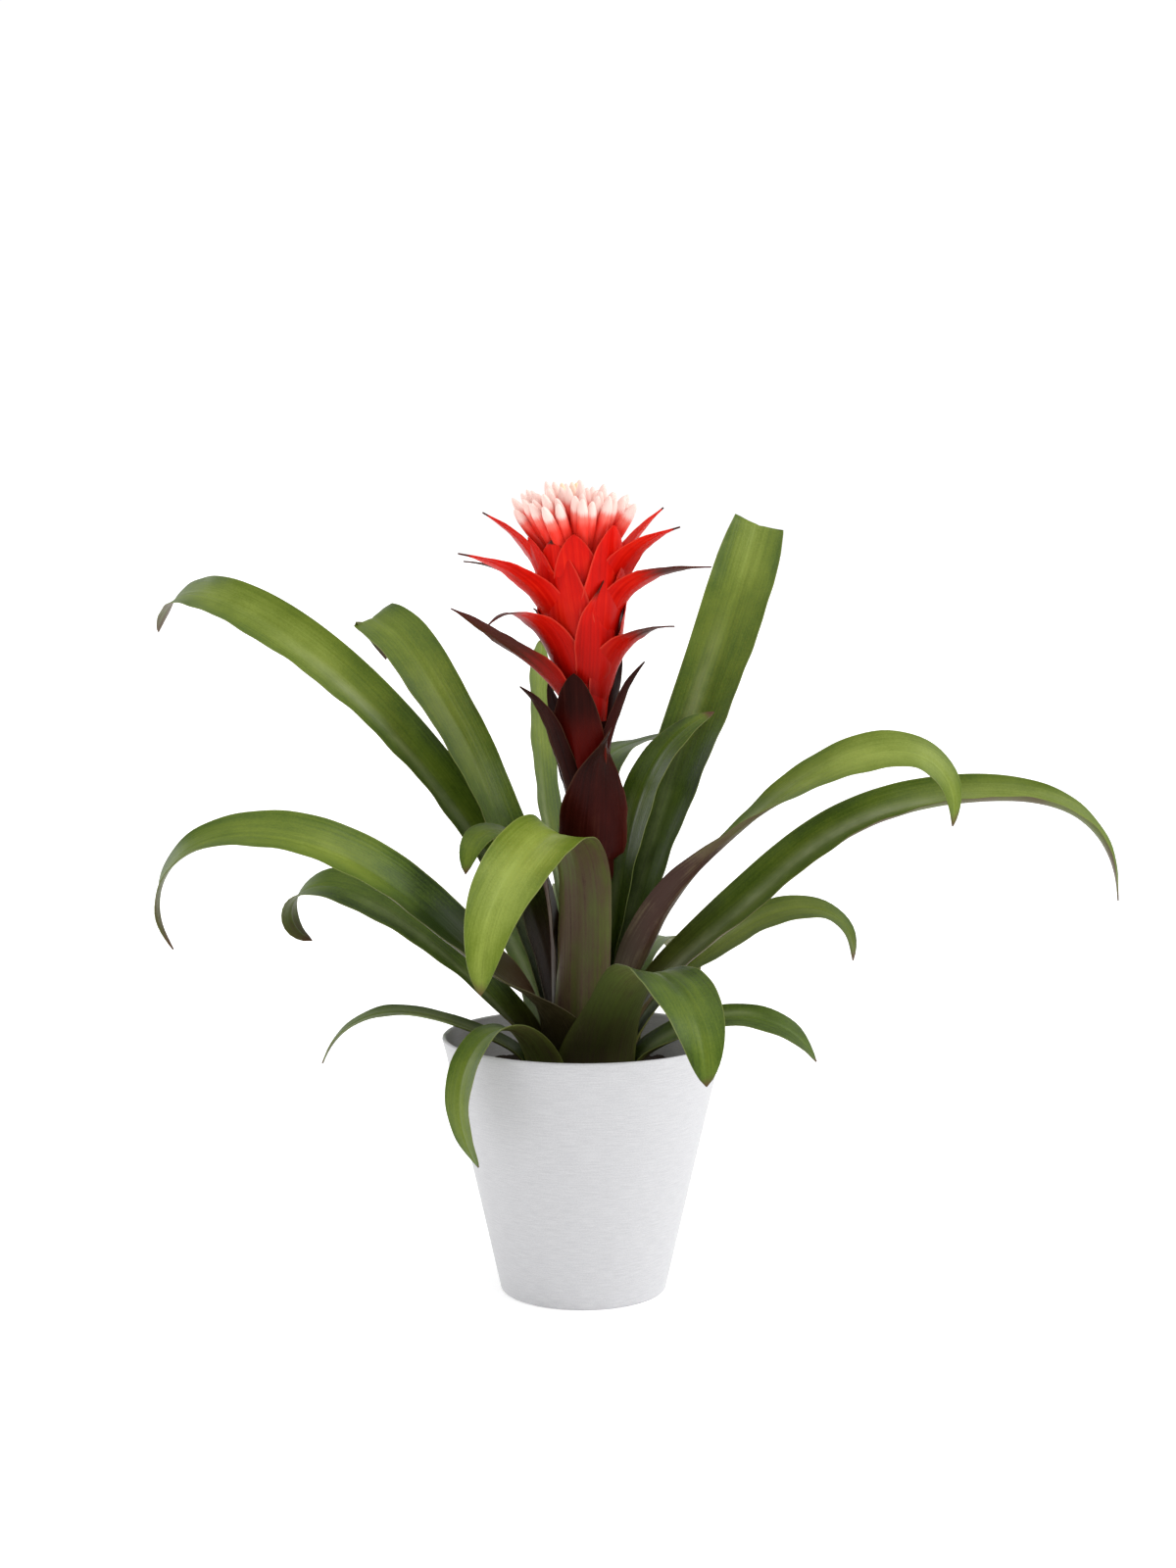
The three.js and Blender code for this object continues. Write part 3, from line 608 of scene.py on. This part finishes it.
def new_material(name, **shader):
    """A material with its Principled shader set to values that are the same all over."""
    material = bpy.data.materials.new(name)
    material.use_nodes = True
    tree = material.node_tree
    surface = tree.nodes["Principled BSDF"]
    for socket, value in shader.items():
        surface.inputs[socket.replace("_", " ")].default_value = value
    return material, tree, surface


def veins_of(tree, group):
    used = put(tree, "ShaderNodeGroup", node_tree=group)
    tree.links.new(mark(tree, "place").outputs["Vector"], used.inputs["Place"])
    return used.outputs


def shaded(tree, base, *shares):
    """A value plus shares of other values that swing about a half."""
    for value, share in shares:
        base = maths(tree, "MULTIPLY_ADD", value, share, maths(tree, "ADD", base, -share / 2))
    return base


def raise_bump(tree, surface, height, strength, distance):
    bump = put(tree, "ShaderNodeBump", {"Height": height, "Strength": strength, "Distance": distance})
    tree.links.new(bump.outputs[0], surface.inputs["Normal"])


def leaf_material(group):
    material, tree, surface = new_material("waxy_leaf", Specular_IOR_Level=0.18)
    look = veins_of(tree, group)
    share, edge, under, fresh, bronze, painted_sheen, sheath = (
        mark(tree, name).outputs["Fac"]
        for name in ("share", "edge", "under", "fresh", "bronze", "painted_sheen", "sheath"))
    shade = shaded(tree, fresh, (look["Patches"], 0.22), (look["Veins"], 0.12), (look["Speckle"], 0.4))
    green = ramp(tree, shade,
                 (0.0, linear(32, 48, 7)), (0.3, linear(68, 88, 18)),
                 (0.6, linear(96, 112, 30)), (1.0, linear(130, 144, 60)))
    rim = maths(tree, "MULTIPLY", spread(tree, edge, 0.95, 1.0), 0.4)
    green = blend(tree, rim, green, linear(140, 146, 78))
    # A pale grey green band along the blade, a painted highlight.
    painted_sheen_share = maths(tree, "MULTIPLY", painted_sheen, spread(tree, look["Patches"], 0.0, 1.0, 0.14, 0.32))
    green = blend(tree, painted_sheen_share, green, linear(150, 158, 120))
    # Near the foot the upper face turns dark maroon where bronze is above 0.6: the sheath's own maroon,
    # darkened further as painted shade.
    foot = maths(tree, "MULTIPLY", spread(tree, bronze, 0.6, 1.0), 0.85)
    green = blend(tree, foot, green, linear(50, 24, 18))
    warmth = shaded(tree, bronze, (look["Patches"], 0.45), (look["Veins"], 0.25), (look["Speckle"], 0.3))
    back = ramp(tree, warmth,
                (0.0, linear(88, 104, 42)), (0.4, linear(80, 82, 40)),
                (0.75, linear(82, 66, 48)), (1.0, linear(58, 36, 28)))
    hem = maths(tree, "MULTIPLY", sheath, spread(tree, edge, 0.7, 1.0))
    back = blend(tree, hem, back, linear(112, 122, 48))
    # Undersides darken where fresh is low, mostly near the feet: painted shade.
    painted_shade = spread(tree, fresh, 0.25, 0.0, 0.0, 0.7)
    back = blend(tree, painted_shade, back, linear(36, 38, 14))
    skin = blend(tree, under, green, back)
    tip = spread(tree, shaded(tree, share, (look["Patches"], 0.02)), 0.972, 1.0)
    skin = blend(tree, tip, skin, linear(80, 54, 34))
    tree.links.new(skin, surface.inputs["Base Color"])
    gloss = shaded(tree, 0.4, (look["Veins"], 0.12), (look["Speckle"], 0.1))
    tree.links.new(maths(tree, "MULTIPLY_ADD", under, 0.1, gloss), surface.inputs["Roughness"])
    raise_bump(tree, surface, look["Height"], 0.18, 0.0003)
    return material


def dark_bract_material(group):
    material, tree, surface = new_material("maroon_bract", Specular_IOR_Level=0.05)
    look = veins_of(tree, group)
    share, edge, flush = (mark(tree, name).outputs["Fac"] for name in ("share", "edge", "flush"))
    maroon = ramp(tree, shaded(tree, 0.45, (look["Veins"], 0.4), (look["Patches"], 0.6)),
                  (0.0, linear(26, 5, 3)), (0.6, linear(44, 12, 8)), (1.0, linear(62, 30, 20)))
    glow = maths(tree, "MULTIPLY", flush, spread(tree, share, 0.8, 0.4))
    skin = blend(tree, glow, maroon, linear(92, 8, 3))
    rim = maths(tree, "MULTIPLY", spread(tree, edge, 0.93, 1.0), 0.3)
    skin = blend(tree, rim, skin, linear(96, 66, 46))
    tree.links.new(skin, surface.inputs["Base Color"])
    tree.links.new(shaded(tree, 0.42, (look["Veins"], 0.15)), surface.inputs["Roughness"])
    raise_bump(tree, surface, look["Height"], 0.2, 0.0003)
    return material


def red_bract_material(group):
    material, tree, surface = new_material("scarlet_bract", Specular_IOR_Level=0.08)
    look = veins_of(tree, group)
    share, edge, dark, painted_shade = (mark(tree, name).outputs["Fac"] for name in ("share", "edge", "dark", "painted_shade"))
    scarlet = ramp(tree, shaded(tree, 0.5, (look["Veins"], 0.35), (look["Patches"], 0.6)),
                   (0.0, linear(170, 8, 2)), (0.5, linear(204, 16, 5)), (1.0, linear(228, 40, 18)))
    # Dark red low on the head, fading upwards: painted shade.
    low = maths(tree, "MULTIPLY", painted_shade, spread(tree, look["Patches"], 0.0, 1.0, 0.7, 1.0))
    skin = blend(tree, low, scarlet, linear(124, 4, 1))
    # Pale pink margins: partly the bracts' paler edge, partly painted highlight.
    rim = maths(tree, "MULTIPLY", spread(tree, edge, 0.9, 1.0), 0.3)
    skin = blend(tree, rim, skin, linear(236, 92, 70))
    end = maths(tree, "SUBTRACT", 1.0, dark)
    reach = maths(tree, "DIVIDE", maths(tree, "SUBTRACT", share, end), maths(tree, "ADD", dark, 0.001))
    tip = spread(tree, maths(tree, "MULTIPLY_ADD", look["Veins"], 0.15, reach), 0.05, 0.55)
    skin = blend(tree, tip, skin, linear(70, 26, 18))
    tree.links.new(skin, surface.inputs["Base Color"])
    tree.links.new(shaded(tree, 0.4, (look["Veins"], 0.15)), surface.inputs["Roughness"])
    raise_bump(tree, surface, look["Height"], 0.16, 0.0003)
    return material


def floret_material():
    material, tree, surface = new_material("white_tipped_floret", Specular_IOR_Level=0.25)
    place = mark(tree, "place").outputs["Vector"]
    share, outer = (mark(tree, name).outputs["Fac"] for name in ("share", "outer"))
    streaks = grain(tree, place, (1.1, 0.08, 1), 3)
    height = shaded(tree, share, (streaks, 0.12))
    white = blend(tree, spread(tree, outer, 0.3, 0.0), linear(242, 210, 201), linear(242, 216, 164))
    blush = blend(tree, spread(tree, height, 0.7, 0.82), linear(238, 112, 98), white)
    skin = blend(tree, spread(tree, height, 0.54, 0.72), linear(236, 54, 40), blush)
    tree.links.new(skin, surface.inputs["Base Color"])
    tree.links.new(shaded(tree, 0.42, (streaks, 0.1)), surface.inputs["Roughness"])
    raise_bump(tree, surface, streaks, 0.2, 0.0003)
    return material


def pot_material():
    """Matt white with fine brush lines that run round the pot."""
    material, tree, surface = new_material("brushed_white", Specular_IOR_Level=0.4)
    place = mark(tree, "place").outputs["Vector"]
    lines = grain(tree, place, (0.08, 2.0, 1), 3, 0.8)
    weft = grain(tree, place, (1.1, 1.6, 1), 3, 0.75)
    woven = maths(tree, "MULTIPLY_ADD", weft, 0.45, maths(tree, "MULTIPLY", lines, 0.55))
    brushed = spread(tree, woven, 0.4, 0.6)
    skin = blend(tree, brushed, linear(179, 179, 182), linear(194, 194, 196))
    tree.links.new(skin, surface.inputs["Base Color"])
    tree.links.new(maths(tree, "MULTIPLY_ADD", brushed, 0.12, 0.45), surface.inputs["Roughness"])
    raise_bump(tree, surface, brushed, 0.12, 0.0002)
    return material


def soil_material():
    material, tree, surface = new_material("damp_potting_mix", Specular_IOR_Level=0.25)
    place = mark(tree, "place").outputs["Vector"]
    clods = grain(tree, place, (0.25, 0.25, 0.25), 5, 0.7)
    crumbs = grain(tree, place, (1.6, 1.6, 1.6), 4, 0.7)
    tint = mark(tree, "tint").outputs["Fac"]
    value = maths(tree, "MULTIPLY_ADD", crumbs, 0.3, maths(tree, "MULTIPLY_ADD", clods, 0.35, tint))
    skin = ramp(tree, value, (0.2, linear(28, 20, 14)), (0.6, linear(58, 42, 30)), (1.0, linear(96, 70, 46)))
    tree.links.new(skin, surface.inputs["Base Color"])
    tree.links.new(maths(tree, "MULTIPLY_ADD", crumbs, 0.2, 0.75), surface.inputs["Roughness"])
    raise_bump(tree, surface, crumbs, 0.6, 0.001)
    return material


# Pieces


def add_leaves(material):
    for order, leaf in enumerate(LEAVES):
        blade = dict(
            point=POINT_START,
            fullness=POINT_FULLNESS,
            fold_at=0,
            fold=0,
            flat=FLATTENED,
            order=order,
            root=INNERMOST_SHEATH + order * SHEATH_STEP,
            foot=ROOT_HEIGHT,
            stand=SHEATH_STAND,
            sheath_length=SHEATH_LENGTH,
            clasp_end=SHEATH_CLASP,
            open_length=SHEATH_LENGTH,
            thickness=BLADE_THICKNESS,
            edge_thickness=BLADE_EDGE_THICKNESS,
            keel=KEEL_DEPTH,
            ripple=RIPPLE_HEIGHT,
            ripple_length=RIPPLE_LENGTH,
        )
        blade.update(leaf)
        draw = np.random.default_rng(RIPPLE_SEED + order)
        rows = round(leaf["length"] / BLADE_ROW)
        vertices, faces, marks = blade_mesh(blade, rows, BLADE_COLUMNS, draw)
        share, edge = marks["share"], marks["edge"]
        marks["fresh"] = through(leaf["fresh"], share) * (1 - EDGE_SHADE * edge ** 1.5)
        marks["bronze"] = np.clip(through(leaf["bronze"], share), 0, 1)
        middle, strength = leaf.get("painted_sheen", PAINTED_SHEEN)
        aside = np.sign(marks["place"][:, 0]) * edge - middle
        band = np.exp(-((aside / PAINTED_SHEEN_WIDTH) ** 2))
        band *= ease(share / PAINTED_SHEEN_FADE) * ease((PAINTED_SHEEN_END - share) / PAINTED_SHEEN_FADE)
        marks["painted_sheen"] = strength * band
        marks["sheath"] = 1 - ease(share * leaf["length"] / SHEATH_LENGTH)
        name = leaf["name"]
        add_piece(name + "_blade", vertices, faces, marks, material, "leaf_" + name)


def bract_blade(bract, root, order):
    blade = dict(
        order=order,
        root=root,
        stand=BRACT_STAND,
        upright=BRACT_UPRIGHT,
        sway=[0, 0],
        roll=[0, 0],
        point=BRACT_POINT,
        fullness=POINT_FULLNESS,
        fold_at=0,
        fold=0,
        flat=FLATTENED,
        sheath=bract["width"] * BRACT_FOOT_SHARE,
        sheath_length=BRACT_CLASP,
        clasp_end=0,
        open_length=BRACT_CLASP,
        thickness=BRACT_THICKNESS,
        edge_thickness=BRACT_EDGE_THICKNESS,
        keel=BRACT_KEEL,
        ripple=BRACT_RIPPLE_HEIGHT,
        ripple_length=BRACT_RIPPLE_LENGTH,
    )
    blade.update(bract)
    return blade


def bract_part(bract, root, order, **tints):
    draw = np.random.default_rng(BRACT_RIPPLE_SEED + order)
    blade = bract_blade(bract, root, order)
    vertices, faces, marks = blade_mesh(blade, BRACT_ROWS, BRACT_COLUMNS, draw)
    for name, value in tints.items():
        marks[name] = np.full(len(vertices), float(value))
    return vertices, faces, marks


def turned_part(outline, sides, **tints):
    vertices, faces = turned_mesh(outline, sides)
    around = np.arctan2(vertices[:, 1], vertices[:, 0]) * PATTERN_RADIUS
    marks = {
        "place": np.stack([around, vertices[:, 2], 0 * around], 1),
        "share": np.zeros(len(vertices)),
        "edge": np.zeros(len(vertices)),
    }
    for name, value in tints.items():
        marks[name] = np.full(len(vertices), float(value))
    return vertices, faces, marks


def add_stalk(material):
    stem = turned_part([
        (0, ROOT_HEIGHT), (STALK_RADIUS, ROOT_HEIGHT), (STALK_RADIUS, STALK_TOP), (0, STALK_TOP),
    ], HEAD_SIDES, flush=0)
    parts = [stem]
    for order, bract in enumerate(DARK_BRACTS):
        parts.append(bract_part(bract, DARK_BRACT_ROOT, order, flush=bract["flush"]))
    vertices, faces, marks = joined(parts)
    add_piece("stalk_with_dark_bracts", bowed(vertices), faces, marks,
              material, "flower_stalk")


def add_red_head(material):
    parts = [turned_part([
        (0, HEAD_FOOT),
        (HEAD_FOOT_RADIUS, HEAD_FOOT),
        (mix(HEAD_FOOT_RADIUS, HEAD_TOP_RADIUS, HEAD_BELLY), (HEAD_FOOT + HEAD_TOP) / 2),
        (HEAD_TOP_RADIUS, HEAD_TOP),
        (0, HEAD_TOP),
    ], HEAD_SIDES, dark=0)]
    spreading = dict(point=SPREADING_POINT, fullness=SPREADING_FULLNESS)
    broad = dict(point=BROAD_POINT, fullness=BROAD_FULLNESS)
    bracts = [dict(bract, **spreading) for bract in SPREADING_BRACTS]
    bracts += [dict(bract, **broad) for bract in BROAD_BRACTS]
    for order in range(CLASPING_COUNT):
        bracts.append(dict(
            broad,
            azimuth=CLASPING_FIRST_AZIMUTH + order * CLASPING_TURN % CLASPING_ARC,
            foot=CLASPING_FOOT + order * CLASPING_STEP,
            length=CLASPING_LENGTH,
            width=CLASPING_WIDTH,
            climb=CLASPING_CLIMB,
            dark=0,
        ))
    for order, bract in enumerate(bracts):
        rise = (bract["foot"] - HEAD_FOOT) / (HEAD_TOP - HEAD_FOOT)
        root = mix(RED_BRACT_ROOT, HEAD_TOP_RADIUS * BRACT_RING_SHARE, rise)
        parts.append(bract_part(bract, root, order + RED_BRACT_ORDER, dark=bract["dark"]))
    vertices, faces, marks = joined(parts)
    # Painted shade, darkest at the foot of the head and fading out upwards.
    marks["painted_shade"] = 1 - ease((vertices[:, 2] - HEAD_FOOT) / PAINTED_SHADE_RISE)
    add_piece("red_bracts", bowed(vertices), faces, marks, material, "red_head")


def seeded_numbers(seed):
    """Numbers from 0 to 1, the same ones as place the florets of the solids."""
    state = seed
    while True:
        state = state * 16807 % 2147483647
        yield state / 2147483647


def scatter(numbers, width):
    """The next number, as an offset of at most half the width either way."""
    return width * (next(numbers) - 0.5)


def floret_bud():
    """A closed bud: a slim tube that swells a little below a rounded tip."""
    outline = [(0.0, 0.0), (1.15, 0.0), (1.22, 0.3), (1.2, 0.55), (1.1, 0.7), (1.0, 0.8),
               (0.8, 0.88), (0.56, 0.94), (0.3, 0.98), (0.0, 1.0)]
    sized = [(radius * FLORET_RADIUS, height * FLORET_LENGTH) for radius, height in outline]
    return turned_mesh(sized, FLORET_SIDES)


def add_florets(material):
    numbers = seeded_numbers(FLORET_SEED)
    cushion = turned_part([
        (0, CUSHION_FOOT),
        (CUSHION_RADIUS, CUSHION_FOOT),
        (CUSHION_RADIUS * CUSHION_SHOULDER, CUSHION_FOOT + CUSHION_RISE / 2),
        (CUSHION_RADIUS / 2, CUSHION_FOOT + CUSHION_RISE * CUSHION_SHOULDER),
        (0, CUSHION_FOOT + CUSHION_RISE),
    ], HEAD_SIDES, outer=1)
    parts = [cushion]
    bud, faces = floret_bud()
    for order in range(FLORET_COUNT):
        out = math.sqrt((order + 0.5) / FLORET_COUNT)
        azimuth = math.radians(order * GOLDEN_ANGLE + scatter(numbers, AZIMUTH_SCATTER))
        lean = math.radians(FLORET_LEAN * out + scatter(numbers, LEAN_SCATTER))
        radius = CUSHION_RADIUS * FLORET_SPREAD * out
        stretch = 1 - OUTER_SHORTENING * out + scatter(numbers, LENGTH_SCATTER)
        height = CUSHION_FOOT + mix(CUSHION_RISE - FLORET_SINK, FLORET_SINK / 2, out * out)
        place = Matrix.Translation((radius * math.cos(azimuth), radius * math.sin(azimuth), height))
        turn = Matrix.Rotation(azimuth, 4, "Z") @ Matrix.Rotation(lean, 4, "Y")
        matrix = np.array(place @ turn)
        vertices = bud * [1, 1, stretch] @ matrix[:3, :3].T + matrix[:3, 3]
        around = np.arctan2(bud[:, 1], bud[:, 0]) * FLORET_RADIUS
        parts.append((vertices, faces, {
            "place": np.stack([around, bud[:, 2], np.full(len(bud), order * FLORET_STEP)], 1),
            "share": bud[:, 2] / FLORET_LENGTH,
            "outer": np.full(len(bud), out),
        }))
    vertices, faces, marks = joined(parts)
    add_piece("floret_head", bowed(vertices), faces, marks, material, "florets", crisp=70)


def arc(radius, height, round_radius, start, end, steps):
    """Points of radius and height along a rounded corner, between two angles in degrees."""
    angles = np.radians(np.linspace(start, end, steps + 1))
    return [(radius + round_radius * math.cos(a), height + round_radius * math.sin(a)) for a in angles]


def pot_radius(height):
    return POT_BASE_RADIUS + POT_SLOPE * height


def add_pot(material):
    lip = POT_WALL / 2
    walls = np.linspace(FOOT_ROUND, POT_HEIGHT - lip, POT_WALL_RINGS)[1:-1]
    outline = [(0, 0), (POT_FLOOR_RING, 0)]
    outline += arc(pot_radius(FOOT_ROUND) - FOOT_ROUND, FOOT_ROUND, FOOT_ROUND, -90, 0, 6)
    outline += [(pot_radius(height), height) for height in walls]
    outline += arc(POT_RIM_RADIUS - lip, POT_HEIGHT - lip, lip, 0, 180, 10)
    outline += [(pot_radius(POT_FLOOR) - POT_WALL, POT_FLOOR), (POT_FLOOR_RING, POT_FLOOR), (0, POT_FLOOR)]
    vertices, faces = turned_mesh(outline, POT_SIDES)
    angle = np.arctan2(vertices[:, 1], vertices[:, 0])
    marks = {"place": np.stack([angle * POT_RIM_RADIUS, vertices[:, 2], 0 * angle], 1)}
    add_piece("round_pot", vertices, faces, marks, material, "pot")


def soil_height(x, y):
    """Height of the crumbled top of the potting mix."""
    rough = noise.fractal(Vector((x, y, 0)) / SOIL_GRAIN, 0.8, 2.2, 4)
    lump = noise.noise(Vector((x, y, 40)) / SOIL_LUMP_SIZE)
    return SOIL_TOP - SOIL_SINK + SOIL_ROUGHNESS * rough + SOIL_LUMP_HEIGHT * lump


def mix_radius(height):
    """Radius of the potting mix, just clear of the inside of the pot."""
    return pot_radius(height) - POT_WALL - FIT_GAP


def add_potting_mix(material):
    foot = POT_FLOOR + FIT_GAP
    edge_radius = mix_radius(SOIL_EDGE)
    outline = [(0, foot), (mix_radius(foot), foot), (edge_radius, SOIL_EDGE)]
    side, side_faces = turned_mesh(outline, SOIL_SIDES)
    radii = np.linspace(edge_radius, 0, SOIL_RINGS)
    top, top_faces = turned_mesh([(radius, SOIL_EDGE) for radius in radii], SOIL_SIDES)
    for vertex in top[SOIL_SIDES:]:
        vertex[2] = soil_height(vertex[0], vertex[1])
    parts = [
        (side, side_faces, {"place": side, "tint": np.zeros(len(side))}),
        (top, top_faces, {"place": top, "tint": np.zeros(len(top))}),
    ]
    draw = np.random.default_rng(CHIP_SEED)
    corners = np.array([(1, 0, 0), (0, 1, 0), (-1, 0, 0), (0, -1, 0), (0, 0, 1), (0, 0, -1)], float)
    chip_faces = np.array([(0, 1, 4, 4), (1, 2, 4, 4), (2, 3, 4, 4), (3, 0, 4, 4),
                           (1, 0, 5, 5), (2, 1, 5, 5), (3, 2, 5, 5), (0, 3, 5, 5)])
    for _ in range(CHIP_COUNT):
        radius = mix_radius(SOIL_TOP) * math.sqrt(draw.uniform(0.0, CHIP_SPREAD))
        angle = draw.uniform(0, 2 * math.pi)
        size = draw.uniform(*CHIP_SIZES)
        uneven = corners * draw.uniform(*CHIP_UNEVENNESS, (6, 1))
        shape = uneven * [size, size * draw.uniform(*CHIP_BREADTH), size * CHIP_DEPTH]
        turn = Matrix.Rotation(draw.uniform(0, 2 * math.pi), 3, "Z")
        tilt = Matrix.Rotation(draw.normal(0, CHIP_TILT), 3, "X")
        x, y = radius * math.cos(angle), radius * math.sin(angle)
        chip = shape @ np.array(turn @ tilt).T + [x, y, soil_height(x, y) + size * CHIP_LIFT]
        tint = np.full(6, draw.uniform(0, CHIP_TINT))
        parts.append((chip, chip_faces, {"place": chip * CHIP_GRAIN, "tint": tint}))
    vertices, faces, marks = joined(parts)
    add_piece("crumbly_mix", vertices, faces, marks, material, "potting_mix", crisp=25)


# Studio


def add_floor():
    bpy.ops.mesh.primitive_plane_add(size=FLOOR_SIZE)
    floor = bpy.context.object
    floor.name = "studio_floor"
    material, tree, surface = new_material(
        "pale_floor", Roughness=0.9, Specular_IOR_Level=0.0,
        Emission_Color=(1, 1, 1, 1), Emission_Strength=FLOOR_GLOW)
    place = put(tree, "ShaderNodeTexCoord").outputs["Object"]
    mottle = grain(tree, place, (3, 3, 3))
    pale = blend(tree, mottle, (0.96, 0.96, 0.96, 1), (0.97, 0.97, 0.97, 1))
    tree.links.new(pale, surface.inputs["Base Color"])
    floor.data.materials.append(material)


def add_sun(name, azimuth, height, strength, spread_angle):
    """A soft, even light from one side. Its azimuth, height and spread are in degrees."""
    lamp = bpy.data.lights.new(name, "SUN")
    lamp.energy = strength
    lamp.angle = math.radians(spread_angle)
    light = bpy.data.objects.new(name, lamp)
    turn = math.radians(azimuth)
    rise = math.radians(height)
    towards = Vector((math.cos(rise) * math.cos(turn), math.cos(rise) * math.sin(turn), math.sin(rise)))
    light.rotation_euler = towards.to_track_quat("Z", "Y").to_euler()
    bpy.context.scene.collection.objects.link(light)


def add_studio():
    add_floor()
    world = bpy.data.worlds.new("pale_studio")
    world.use_nodes = True
    tree = world.node_tree
    background = tree.nodes["Background"]
    seen = put(tree, "ShaderNodeLightPath").outputs["Is Camera Ray"]
    light = maths(tree, "MULTIPLY_ADD", seen, SEEN_ROOM_LIGHT, ROOM_LIGHT)
    tree.links.new(light, background.inputs["Strength"])
    background.inputs["Color"].default_value = (1, 1, 1, 1)
    bpy.context.scene.world = world
    add_sun("key_light", azimuth=-8, height=38, strength=1.85, spread_angle=50)
    add_sun("top_light", azimuth=-60, height=76, strength=0.75, spread_angle=70)
    add_sun("left_fill", azimuth=150, height=15, strength=1.0, spread_angle=40)


def add_camera():
    lens = bpy.data.cameras.new("photograph_camera")
    lens.lens = CAMERA_LENS
    camera = bpy.data.objects.new("photograph_camera", lens)
    camera.location = Vector(CAMERA_PLACE) * MM
    camera.rotation_euler = (math.radians(90 - CAMERA_PITCH), 0, 0)
    bpy.context.scene.collection.objects.link(camera)
    bpy.context.scene.camera = camera


veins = vein_group()
add_leaves(leaf_material(veins))
add_stalk(dark_bract_material(veins))
add_red_head(red_bract_material(veins))
add_florets(floret_material())
add_pot(pot_material())
add_potting_mix(soil_material())
add_studio()
add_camera()
bpy.context.scene.view_settings.view_transform = "Standard"
